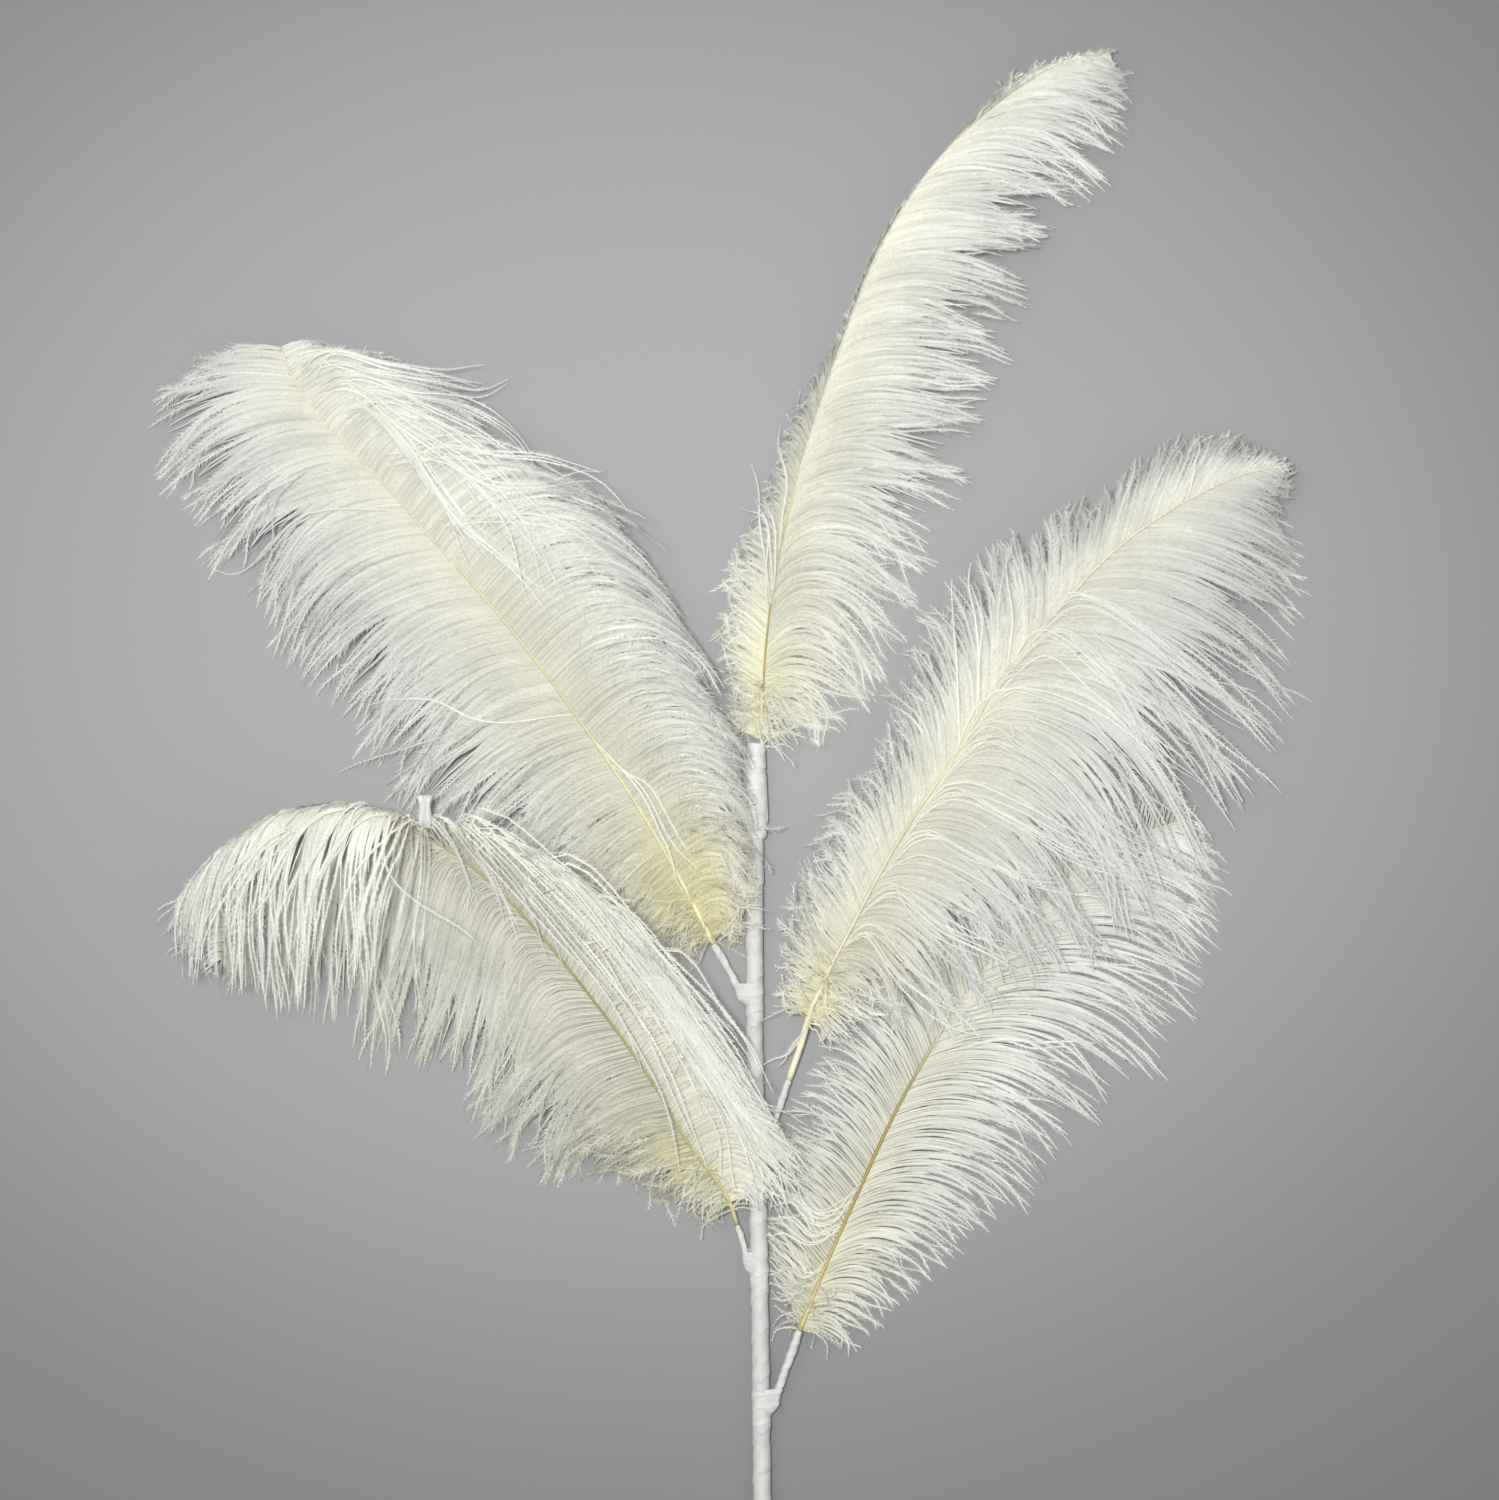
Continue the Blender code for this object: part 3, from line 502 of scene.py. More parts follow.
def roots(guides, look, count, spread, rng):
    """Places of the barbs on the rachis, with none in the side's parting."""
    first, last = guides[0][0], guides[-1][0]
    places = np.linspace(first, last, count) + rng.normal(0, spread, count)
    low, high = look["parting"]
    share = (places - low) / (high - low)
    away = PARTING_REACH * (high - low)
    places = np.where((share > 0) & (share < 0.5), low - share * away, places)
    places = np.where((share >= 0.5) & (share < 1), high + (1 - share) * away, places)
    return np.sort(places)


def fluffed(look, places):
    """How much more the barbs wave near the foot of the feather."""
    return (1 + look["fluff"] * (1 - ramp(places, 0.12, 0.48)))[:, None]


def tousle(feather, side, look, rng):
    """The barbs of one side."""
    places = roots(feather[side], look, BARBS, 0.0012, rng)
    u = np.linspace(0, 1, FINE_STEPS)
    lock = clumps(rng, BARBS, *LOCK)
    wisp = clumps(rng, BARBS, *WISP)
    reach = keyed(look["reach"], places) + 0.03 * drift(rng, BARBS, 14)
    reach += by_clump(rng, lock, 0, 0.035)
    short = rng.random(BARBS) < SHORT_SHARE
    reach += np.where(short, rng.uniform(-0.32, -0.1, BARBS), rng.uniform(-0.06, 0.04, BARBS))
    shares = np.clip(reach, 0.5, 1.13)[:, None] * u
    flat = sheet(feather, side, places, shares)
    row = row_direction(flat)
    along, across, out = barb_frames(flat, row)
    loose = look["loose"]
    pinch = np.clip(by_clump(rng, lock, look["pinch"], 0.2), 0, 0.85)
    paths = gathered(feather, side, places, shares, flat, flat, lock, pinch, loose, u)
    pinch = np.clip(by_clump(rng, wisp, 0.55, 0.3), 0, 0.95)
    paths = gathered(feather, side, places, shares, paths, flat, wisp, pinch, loose + 0.05, u)
    size = np.linalg.norm(flat[:, -1] - flat[:, 0], axis=1) / 100
    curl = (u * ramp(u, 0.0, 1.0))[:, None]
    sway = look["sway"] * (drift(rng, BARBS, 9) + by_clump(rng, lock, 0, 1.2))
    sway = sway + by_clump(rng, wisp, 0, 1.6) + rng.normal(0, 1.3, BARBS)
    lift = 1.8 * drift(rng, BARBS, 8) + by_clump(rng, wisp, 0, 1.5)
    stray = rng.random(BARBS) < STRAY_SHARE
    sway = sway + stray * rng.normal(0, 12, BARBS)
    lift = lift + stray * rng.uniform(1, 5, BARBS)
    paths = paths + across * (sway * size)[:, None, None] * curl
    paths = paths + out * (lift * size)[:, None, None] * curl
    paths = waved(paths, (along, across, out), u, rng, WAVES["barbs"] * fluffed(look, places))
    droop = look["droop"] + np.minimum(rng.exponential(0.8, BARBS), 3.0)
    paths[..., 1] -= (droop * np.minimum(size, 1.0))[:, None] * u**4
    return settled(paths, row, places, u, rng)


def under(feather, side, look, rng):
    """Plain barbs just below the others, which close the vane's inner part."""
    places = roots(feather[side], look, UNDER, 0.0004, rng)
    u = np.linspace(0, 1, FINE_STEPS)
    fill = rng.uniform(*look["fill"], UNDER) * keyed(look["thin"], places)
    paths = sheet(feather, side, places, fill[:, None] * u)
    row = row_direction(paths)
    frames = barb_frames(paths, row)
    paths = paths - frames[2] * (UNDER_GAP * ramp(u, 0.02, 0.2))[:, None]
    paths = waved(paths, frames, u, rng, WAVES["under"] * fluffed(look, places))
    return settled(paths, row, places, u, rng)


def heights(feather, spots):
    """How high the vanes lie under points x, y: the highest barb near each."""
    grid = []
    for side in ("right", "left"):
        places = np.linspace(feather[side][0][0], feather[side][-1][0], 110)
        shares = np.broadcast_to(np.linspace(0, 1, 30), (110, 30))
        grid.append(sheet(feather, side, places, shares).reshape(-1, 3))
    grid = np.concatenate(grid)
    gap = np.linalg.norm(spots[:, None, :2] - grid[None, :, :2], axis=2)
    near = np.where(gap < 5, grid[None, :, 2], -1.0).max(1)
    nearest = grid[gap.argmin(1), 2] - 0.25 * gap.min(1)
    return np.maximum(np.where(near > 0, near, nearest), 1.0)


def strands(feather, name, rng):
    """The listed strands, each a bundle of barbs that lies on the vanes."""
    u = np.linspace(0, 1, FINE_STEPS)
    paths, rows, places = [], [], []
    for place, spots, count, spread in WISPS[name]:
        root = rachis_points(feather, [place])[0]
        points = np.array([root[:2], *(layout(*spot) for spot in spots)])
        run = distances(points)
        line = blend(run / run[-1], points, u)
        z = heights(feather, line) + 1.5
        z[0] = root[2]
        for _ in range(3):
            z = np.convolve(np.pad(z, 4, mode="edge"), np.ones(9) / 9, mode="valid")
        z = root[2] + (z - root[2]) * ramp(u, 0, 0.12)
        line = np.column_stack([line, z])
        across = unit(np.cross(unit(np.gradient(line, axis=0)), UP))
        for _ in range(count):
            lean = rng.normal(0, spread / 2) * (0.45 * ramp(u, 0, 0.3) + 0.55 * u**1.3)
            path = line + across * lean[:, None]
            path[:, 2] += rng.uniform(-0.8, 2.0) * np.sin(np.pi * np.minimum(u * 1.1, 1))
            path = blend(u, path, u * rng.uniform(0.72, 1.03))
            own = place + rng.normal(0, 0.0012) * spread
            move = rachis_points(feather, [own])[0] - root
            paths.append(path + move * (1 - ramp(u, 0, 0.45))[:, None])
            rows.append(across)
            places.append(place)
    paths, rows = np.array(paths), np.array(rows)
    calm = np.clip(lengths(paths) / 60, 0.35, 1.0)[:, None]
    paths = waved(paths, barb_frames(paths, rows), u, rng, WAVES["strands"] * calm)
    return settled(paths, rows, np.array(places), u, rng)


def down(feather, rng):
    """Short loose barbs round the foot of the vanes."""
    u = np.linspace(0, 1, FINE_STEPS)
    first = min(feather[side][0][0] for side in ("right", "left"))
    places = first + rng.uniform(-0.012, 0.07, DOWN)
    root = rachis_points(feather, places)
    forward = unit(rachis_points(feather, places + 0.01) - root)
    side = unit(np.cross(forward, UP))
    up = np.cross(side, forward)
    angle = rng.uniform(-0.35, np.pi + 0.35, DOWN)[:, None]
    away = side * np.cos(angle) + up * np.sin(angle) * 0.5
    size = rng.uniform(8, 21, DOWN)[:, None]
    lean = rng.uniform(-0.35, 0.9, DOWN)[:, None]
    pull = root + (away + forward * lean) * size * 0.6
    tip = pull + (away + forward * rng.normal(-0.3, 0.6, (DOWN, 1))) * size * 0.6
    a, b, c = ((1 - u)**2)[:, None], (2 * u * (1 - u))[:, None], (u**2)[:, None]
    paths = a * root[:, None] + b * pull[:, None] + c * tip[:, None]
    rows = np.broadcast_to(forward[:, None] + 0.01, paths.shape)
    paths = waved(paths, barb_frames(paths, rows), u, rng, WAVES["down"])
    return settled(paths, rows, np.full(DOWN, 0.09), u, rng)


def quads(a, b, c, d):
    """Two triangles for each four corners."""
    return np.concatenate([np.stack(corners, -1).reshape(-1, 3)
                           for corners in ((a, b, c), (a, c, d))])


def walls(index):
    """Triangles between neighbouring rings of a tube, given its vertex numbers by ring."""
    after = np.roll(index, -1, axis=1)
    return quads(index[:-1], after[:-1], after[1:], index[1:])


def ribbons(paths, frames, u, widths, tilt, steps):
    """Roofed ribbons along the barbs: vertices, triangles, and each vertex's barb, share of
    its length and nearness to an edge, which sets its painted shade."""
    _, across, out = frames
    count = len(paths)
    pick = np.linspace(0, len(u) - 1, steps + 1).round().astype(int)
    p, s, n = paths[:, pick], across[:, pick], out[:, pick]
    turn = tilt[:, None, None]
    s, n = s * np.cos(turn) + n * np.sin(turn), n * np.cos(turn) - s * np.sin(turn)
    w = widths[:, pick, None]
    rings = np.stack([p - s * w - n * w * 0.3, p, p + s * w - n * w * 0.3], axis=2)
    index = np.arange(count * (steps + 1) * 3).reshape(count, steps + 1, 3)
    low, high = index[:, :-1], index[:, 1:]
    faces = np.concatenate([quads(low[..., k], low[..., k + 1], high[..., k + 1], high[..., k])
                            for k in (0, 1)])
    barb = np.broadcast_to(np.arange(count)[:, None, None], index.shape).ravel()
    share = np.broadcast_to(u[pick][None, :, None], index.shape).ravel()
    # The ribbon's two outer edges, which barb_colour paints darker as painted shade.
    edge = np.broadcast_to([1.0, 0.0, 1.0], index.shape).ravel()
    return rings.reshape(-1, 3), faces, barb, share, edge


def barbules(paths, frames, u, reaches, spacing, rng):
    """One pointed triangle for each barbule, on both sides of every barb, told as ribbons'
    vertices are."""
    along, across, out = frames
    number = np.maximum((lengths(paths) / spacing).astype(int), 3)
    total = number.sum()
    barb = np.repeat(np.arange(len(paths)), number)
    order = np.arange(total) - np.repeat(np.cumsum(number) - number, number)
    points, shares = [], []
    for turn in (-1.0, 1.0):
        share = (order + rng.random(total)) / number[barb]
        at = share * (len(u) - 1)
        i = np.minimum(at.astype(int), len(u) - 2)
        f = (at - i)[:, None]

        def read(table):
            return table[barb, i] * (1 - f) + table[barb, i + 1] * f

        p, t, s, n = read(paths), read(along), read(across), read(out)
        reach = read(reaches[..., None]) * rng.uniform(0.6, 1.3, total)[:, None]
        angle = np.radians(np.clip(rng.normal(BARBULE_ANGLE, 8, total), 16, 55))[:, None]
        rise = (turn * 0.2 + rng.normal(0, 0.25, total))[:, None]
        tip = p + t * reach / np.tan(angle) * 0.8 + s * turn * reach + n * rise * reach
        half = t * BARBULE_HALF_BASE * spacing * rng.uniform(0.7, 1.3, total)[:, None]
        points.append(np.stack([p - half, p + half, tip], axis=1).reshape(-1, 3))
        shares.append(np.repeat(share, 3))
    faces = np.arange(total * 6).reshape(-1, 3)
    # Tips count fully as edges and bases a little, for barb_colour's painted shade.
    edge = np.tile([0.3, 0.3, 1.0], total * 2)
    return (np.concatenate(points), faces, np.tile(np.repeat(barb, 3), 2),
            np.concatenate(shares), edge)


YELLOW = np.array([0.81, 0.755, 0.45])
CREAM = np.array([0.835, 0.83, 0.70])
WHITE = np.array([0.885, 0.895, 0.862])


def barb_colour(place, share, tone, edge, gold, cream):
    """Yellow at the quill, cream along the rachis and near white at the tips, with painted shade
    towards each barb's edges.
    """
    deep = gold * (1 - ramp(place, 0.02, 0.26)) * (1 - 0.6 * ramp(share, 0.1, 0.9))
    pale = ramp(share + 0.35 * place, 0.12, 0.85) * (1 - cream)
    colour = CREAM + (WHITE - CREAM) * pale[:, None]
    colour = colour + (YELLOW - colour) * (0.95 * deep)[:, None]
    tone = tone * (1 + 0.06 * ramp(share, 0.82, 0.97))
    # Painted shade: edges are painted up to 13 percent darker.
    return colour * (tone * (1 - 0.13 * edge))[:, None]


def linked(name, data):
    ob = bpy.data.objects.new(name, data)
    bpy.context.scene.collection.objects.link(ob)
    return ob


def mesh_object(name, shells, material):
    """A mesh in the row frame, made of shells (points, triangles, colours), with its colours
    as an attribute."""
    points, faces, colours = zip(*shells)
    starts = np.cumsum([0] + [len(shell) for shell in points[:-1]])
    faces = np.concatenate([shell + start for shell, start in zip(faces, starts)])
    points = np.concatenate(points)
    points[:, 2] = np.maximum(points[:, 2], LOWEST)
    mesh = bpy.data.meshes.new(name)
    mesh.vertices.add(len(points))
    mesh.vertices.foreach_set("co", ((points + SHIFT) * MM).astype(np.float32).ravel())
    mesh.loops.add(len(faces) * 3)
    mesh.loops.foreach_set("vertex_index", faces.astype(np.int32).ravel())
    mesh.polygons.add(len(faces))
    mesh.polygons.foreach_set("loop_start", np.arange(0, len(faces) * 3, 3, dtype=np.int32))
    mesh.polygons.foreach_set("use_smooth", np.ones(len(faces), bool))
    layer = mesh.color_attributes.new("tint", "FLOAT_COLOR", "POINT")
    rgba = np.ones((len(points), 4), np.float32)
    rgba[:, :3] = np.concatenate(colours)
    layer.data.foreach_set("color", rgba.ravel())
    mesh.update(calc_edges=True)
    mesh.materials.append(material)
    return linked(name, mesh)


def declare(ob, slot, *nodes):
    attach(ob, "root")
    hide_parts(*nodes)


def narrowed(places):
    """How thin the barbs are near the feather's tip."""
    return (1 - 0.55 * ramp(places, 0.86, 1.0))[:, None]


def barb_kinds(name, feather, look, rng):
    """The feather's kinds of barbs: for each its row, half widths, barbules' reach, tone,
    steps and colouring, where widths, reach and tone are given along the barb."""
    kinds = []
    for side in ("right", "left"):
        own = {**PLAIN_SIDE, **look[side]}
        paint = (own["gold"], own["cream"])
        row = tousle(feather, side, own, rng)
        _, _, places, u = row
        loose, (comb, depth) = own["loose"], own["comb"]
        foot = depth * (1 - ramp(u, comb * 0.6, comb * 1.4 + 0.01))
        thin = (narrowed(places)
                + (keyed(own["wide"], places)[:, None] - 1) * ramp(u, loose, loose + 0.15))
        width = np.interp(u, (0, 0.05, loose, loose + 0.2, 0.85, 0.93, 1),
                          (0.7, 1.0, 0.95, 0.5, 0.4, 0.34, 0.1))
        reach = np.interp(u, (0, 0.08, loose, 0.72, 0.86, 0.94, 1),
                          (0.8, 1.3, 2.1, 2.5, 2.2, 1.1, 0.25))
        soft = fluffed(own, places)**0.4
        kinds.append((row, width * thin * (1 - 0.55 * foot) / soft,
                      reach * (1 - 0.55 * foot) * own["fuzz"] * soft,
                      np.full_like(u, own["tone"]), BARB_STEPS, paint))
        row = under(feather, side, own, rng)
        places = row[2]
        width = narrowed(places) * np.interp(u, (0, 0.1, 0.6, 1), (0.8, 1.15, 0.95, 0.2))
        width = width * keyed(own["wide"], places)[:, None] ** ramp(u, loose, 0.8)
        # Painted shade: the barbs below are painted a little darker, under the barbs above, and
        # darker still at the foot where those stand apart.
        kinds.append((row, width * own["under"], None,
                      own["tone"] * 0.95 * (1 - 0.28 * foot), UNDER_STEPS, paint))
    paint = (look["right"]["gold"], look["right"]["cream"])
    width = np.interp(u, (0, 0.1, 0.6, 1), (0.24, 0.34, 0.3, 0.08))
    reach = np.interp(u, (0, 0.2, 0.75, 0.92, 1), (0.5, 1.1, 1.4, 0.5, 0.15))
    kinds.append((strands(feather, name, rng), width, reach, np.full_like(u, 1.04),
                  BARB_STEPS, paint))
    width = np.interp(u, (0, 0.5, 1), (0.25, 0.2, 0.08))
    reach = np.interp(u, (0, 0.3, 1), (1.6, 3.0, 1.4))
    kinds.append((down(feather, rng), width, reach, np.full_like(u, 1.0), BARB_STEPS, paint))
    return kinds


def plume(name, feather, look, material):
    """One feather's barbs, with as many barbules as its limit of triangles allows."""
    rng = np.random.default_rng(look["seed"])
    kinds = barb_kinds(name, feather, look, rng)
    plain = sum(4 * steps * len(row[0]) for row, _, _, _, steps, _ in kinds)
    fringed = sum(lengths(row[0]).sum() for row, _, reach, _, _, _ in kinds if reach is not None)
    spacing = 2 * fringed / (look["limit"] - plain)
    shells = []
    for (paths, frames, places, u), width, reach, tone, steps, paint in kinds:
        count = len(paths)
        tones = rng.normal(1.0, 0.045, count)
        tilt = rng.normal(0.14, 0.12, count)
        width = width * rng.uniform(0.85, 1.15, (count, 1))
        parts = [ribbons(paths, frames, u, width, tilt, steps)]
        if reach is not None:
            reach = reach * rng.uniform(0.85, 1.15, (count, 1))
            reach = reach * np.clip(lengths(paths) / 45, 0.35, 1.0)[:, None]
            parts.append(barbules(paths, frames, u, reach, spacing, rng))
        for points, faces, barb, share, edge in parts:
            shade = tones[barb] * np.interp(share, u, tone)
            shells.append((points, faces, barb_colour(places[barb], share, shade, edge, *paint)))
    declare(mesh_object(name.replace("feather", "plume"), shells, material), "plume", name)


# The feathers' shafts. "quill": the quill's radius in mm, and the place where it ends. "thin":
# the radius beyond it. "sinks": how far the shaft sinks among the barbs, in mm, and from where
# to where. "colours": (place, colour) from the quill to the tip.
SHAFTS = {
    "feather_top": {
        "quill": (1.1, 0.04), "thin": 0.5, "sinks": (1.2, 0.3, 0.5),
        "colours": ((0, (0.44, 0.35, 0.10)), (0.2, (0.44, 0.35, 0.10)),
                    (0.45, (0.80, 0.75, 0.50)), (1, (0.90, 0.87, 0.76))),
    },
    "feather_upper_left": {
        "quill": (1.3, 0.03), "thin": 0.9, "sinks": (-0.4, 0.1, 0.2),
        "colours": ((0, (0.80, 0.74, 0.46)), (0.45, (0.60, 0.55, 0.34)),
                    (1, (0.72, 0.68, 0.50))),
    },
    "feather_lower_left": {
        "quill": (1.1, 0.05), "thin": 0.75, "sinks": (-0.7, 0.1, 0.2),
        "colours": ((0, (0.56, 0.50, 0.27)), (0.3, (0.34, 0.29, 0.12)),
                    (0.55, (0.36, 0.31, 0.14)), (1, (0.72, 0.66, 0.46))),
    },
    "feather_upper_right": {
        "quill": (1.7, 0.10), "thin": 0.85, "sinks": (-0.7, 0.1, 0.2),
        "colours": ((0, (0.84, 0.80, 0.60)), (0.45, (0.68, 0.61, 0.38)),
                    (1, (0.86, 0.83, 0.70))),
    },
    "feather_lower_right": {
        "quill": (1.45, 0.02), "thin": 0.95, "sinks": (1.5, 0.45, 0.62),
        "colours": ((0, (0.56, 0.46, 0.20)), (0.4, (0.36, 0.285, 0.10)),
                    (0.55, (0.60, 0.54, 0.36)), (0.68, (0.78, 0.76, 0.64)),
                    (1, (0.80, 0.78, 0.66))),
    },
}
SHAFT_RINGS, SHAFT_SIDES = 90, 10
SHAFT_TIP = 0.3                # radius
# Painted light and shade: the shaft's top is painted lighter by this share, its underside darker.
SHAFT_PAINTED_LIGHT = 0.12             # how much lighter its top is


def turns(sides):
    """Angles round a tube."""
    return np.arange(sides) / sides * 2 * np.pi


def tube(line, radius, angle):
    """Rings of points round a line, with a radius for each ring or for each point."""
    along = unit(np.gradient(line, axis=0))
    side = unit(np.cross(along, UP))
    up = np.cross(side, along)
    angle = angle[:, None]
    ring = side[:, None] * np.cos(angle) + up[:, None] * np.sin(angle)
    return line[:, None] + ring * radius[..., None]


def shaft(name, feather, material):
    """The rachis, from its quill to its tip, as a tapering tube."""
    look = SHAFTS[name]
    places = np.linspace(0, 1, SHAFT_RINGS)
    line = rachis_points(feather, places)
    depth, start, end = look["sinks"]
    line[:, 2] -= depth * ramp(places, start, end)
    (quill, quill_end), thin = look["quill"], look["thin"]
    radius = np.interp(places, (0, quill_end, quill_end + 0.04, 0.5, 1),
                       (quill, quill, thin, 0.7 * thin + 0.3 * SHAFT_TIP, SHAFT_TIP))
    angle = turns(SHAFT_SIDES)
    points = tube(line, radius[:, None], angle).reshape(-1, 3)
    index = np.arange(SHAFT_RINGS * SHAFT_SIDES).reshape(SHAFT_RINGS, SHAFT_SIDES)
    fans = range(1, SHAFT_SIDES - 1)
    faces = np.concatenate([walls(index),
                            [[index[0, 0], index[0, k + 1], index[0, k]] for k in fans],
                            [[index[-1, 0], index[-1, k], index[-1, k + 1]] for k in fans]])
    colour = blend(*zip(*look["colours"]), places)
    # Painted light and shade: the top of the tube lighter, its underside darker.
    light = 1 + SHAFT_PAINTED_LIGHT * np.sin(angle)
    colours = (colour[:, None] * light[None, :, None]).reshape(-1, 3)
    shell = points, faces, colours
    declare(mesh_object(name.replace("feather", "shaft"), [shell], material), "plume", name)


STEM_RADIUS = 4.3
STEM_PATH = [(4, -165, 4.3), (2.2, 36, 5.3), (1.2, 110, 5.35), (-1.4, 230, 5.4),
             (-1.2, 300, 5.9), (-0.8, 345, 6.3), (-0.85, 350, 6.3)]
TWIGS = {                      # path, radius, binding's ends in y
    "upper_left": ([(-8.1, 243.5, 5.4), (-8.2, 251, 5.4), (-9.8, 256.5, 5.6),
                    (-15.2, 266.5, 6.3), (-21.78, 277.66, 6.95)], 2.0, (258, 241.5)),
    "upper_right": ([(6.7, 163, 5.3), (6.7, 176, 5.4), (7.9, 186, 5.9),
                     (15.85, 209.6, 7.9)], 1.8, (184, 161)),
    "lower_left": ([(-5.1, 107, 5.3), (-5.2, 119, 5.3), (-6.1, 125, 5.6),
                    (-9.85, 136.6, 6.95)], 1.5, (124, 105)),
    "lower_right": ([(8.95, 37.5, 5.2), (8.85, 46, 5.2), (9.9, 52, 5.3),
                     (21.36, 83.65, 6.95)], 2.1, (54, 35.5)),
}
TWIG_HELD = 0.62               # where a twig ends in its binding, as a share from the low end
COLLAR = [                     # points and radii
    ((-0.5, 378.5, 6.9), 4.6), ((-0.9, 373, 6.8), 5.2), ((-1.6, 366.2, 6.7), 6.3),
    ((-1.3, 365.4, 6.7), 5.6), ((-0.8, 347, 6.3), 6.0), ((-0.7, 333, 6.2), 5.8),
    ((-0.7, 330.5, 6.2), 5.0),
]
# Loose ends of the collar's tape: corners in picture pixels, and their height in the layout.
COLLAR_FLAPS = [
    (((760.5, 777), (766.5, 775), (768.5, 819), (762.5, 841)), (11.6, 8.2, 7.4, 7.8)),
    (((742, 768.5), (764, 769.5), (763, 774), (743.5, 773)), (11.0, 10.8, 12.4, 11.6)),
]
FLAP_THICKNESS = 0.16
PAPER = np.array([0.585, 0.595, 0.59])
PAPER_CREAM = np.array([0.66, 0.655, 0.60])
CREASE_EVERY = 3.2             # mm of tape


def path_at(path, s):
    """Points at distances s along a path of straight runs."""
    points, run = np.asarray(path, float), distances(path)
    return np.column_stack([np.interp(s, run, points[:, axis]) for axis in range(3)])


def smoothed(points, reach):
    """The path with its corners rounded over a few samples; its ends stay."""
    kernel = np.ones(2 * reach + 1) / (2 * reach + 1)
    soft = points.copy()
    for axis in range(3):
        soft[:, axis] = np.convolve(np.pad(points[:, axis], reach, mode="reflect",
                                           reflect_type="odd"), kernel, mode="valid")
    return soft


def tape_relief(s, angle, pitch, step, rng):
    """Height of wound tape at distances s and angles, and its phase: how far each spot is
    through its turn of tape, from 0 to 1, with the tape's edge at 0."""
    whole = max(s[-1] - s[0], 1.0)
    count = max(int(whole / pitch) + 3, 4)
    knots = rng.uniform(0.7, 1.35, (count, 1))
    pace = blend(np.linspace(s[0], s[-1], count), knots, s)[:, 0]
    turn = np.concatenate([[0], np.cumsum(np.diff(s) / (pitch * pace[1:]))])
    edge = 0.05 * np.sin(2 * angle + rng.uniform(0, 6)) + 0.03 * np.sin(5 * angle + 1)
    phase = (turn[:, None] + (angle / (2 * np.pi))[None] + edge[None] + rng.random()) % 1.0
    relief = step * np.where(phase < 0.5, 1 - 2 * phase, 0.0)
    relief = relief + step * 0.5 * np.exp(-((phase - 0.03) / 0.03)**2)
    for _ in range(int(whole / CREASE_EVERY) + 3):
        place, middle = rng.uniform(s[0], s[-1]), rng.uniform(-np.pi, np.pi)
        lean = rng.normal(0, 0.9)
        width, length = rng.uniform(0.35, 0.9), rng.uniform(2.5, 8)
        ahead = s[:, None] - place
        around = ((angle[None] - middle + np.pi) % (2 * np.pi) - np.pi) * 4.0
        off = ahead * np.cos(lean) - around * np.sin(lean)
        run = ahead * np.sin(lean) + around * np.cos(lean)
        height = rng.choice((-1, 1)) * rng.uniform(0.08, 0.26)
        relief = relief + height * np.exp(-(off / width)**2 - (run / length)**2)
    for _ in range(5):
        relief = relief + 0.05 * np.sin(s[:, None] * rng.uniform(0.15, 0.7)
                                        + angle[None] * rng.integers(1, 4) + rng.uniform(0, 6))
    return relief, phase


def paper_colour(phase, rng, total):
    """White where two turns of tape lie over each other, and painted shade at the foot of an edge.
    """
    cloudy = 0.025 * drift(rng, len(phase), 7)[:, None]
    # The dip near phase 0.985 is painted shade at the foot of each turn's edge.
    tone = 1.0 + 0.035 * (phase < 0.4) - 0.13 * np.exp(-((phase - 0.985) / 0.02)**2) + cloudy
    cream = np.clip(0.25 + 0.2 * drift(rng, len(phase), 11), 0, 0.6)[:, None, None]
    colour = ((PAPER + (PAPER_CREAM - PAPER) * cream) * tone[..., None]).reshape(-1, 3)
    return np.vstack([colour, np.repeat(colour[-1:], total - len(colour), axis=0)])


def skin(sections, caps):
    """Vertices and triangles of a tube through rings of points."""
    rings, sides = sections.shape[:2]
    points = sections.reshape(-1, 3)
    index = np.arange(rings * sides).reshape(rings, sides)
    faces = [walls(index)]
    if caps:
        for row, turn in ((0, -1), (rings - 1, 1)):
            middle = len(points)
            points = np.vstack([points, sections[row].mean(0)])
            fan = np.column_stack([index[row], np.roll(index[row], -1), np.full(sides, middle)])
            faces.append(fan[:, ::turn])
    return points, np.concatenate(faces)


def wound(path, radii, keys, pitch, step, rng, sides=30, gap=0.9, tones=(1.0, 1.0)):
    """A rod wound with tape, with tones for both its ends, which paint light and shade along it.
    keys are the radii's distances.
    """
    whole = distances(path)[-1]
    s = np.linspace(0, whole, int(whole / gap) + 2)
    angle = turns(sides)
    relief, phase = tape_relief(s, angle, pitch, step, rng)
    radius = np.interp(s, keys, radii)[:, None] + relief - 0.25 * step
    points, faces = skin(tube(smoothed(path_at(path, s), 3), radius, angle), True)
    colour = paper_colour(phase, rng, len(points))
    row = np.minimum(np.arange(len(points)) // sides, len(s) - 1)
    return points, faces, colour * np.interp(s[row], (0, whole), tones)[:, None]


def level(path, y):
    """Points of a climbing path at heights y."""
    path = np.array(sorted(path, key=lambda point: point[1]), float)
    return np.column_stack([np.interp(y, path[:, 1], path[:, 0]), y,
                            np.interp(y, path[:, 1], path[:, 2])])


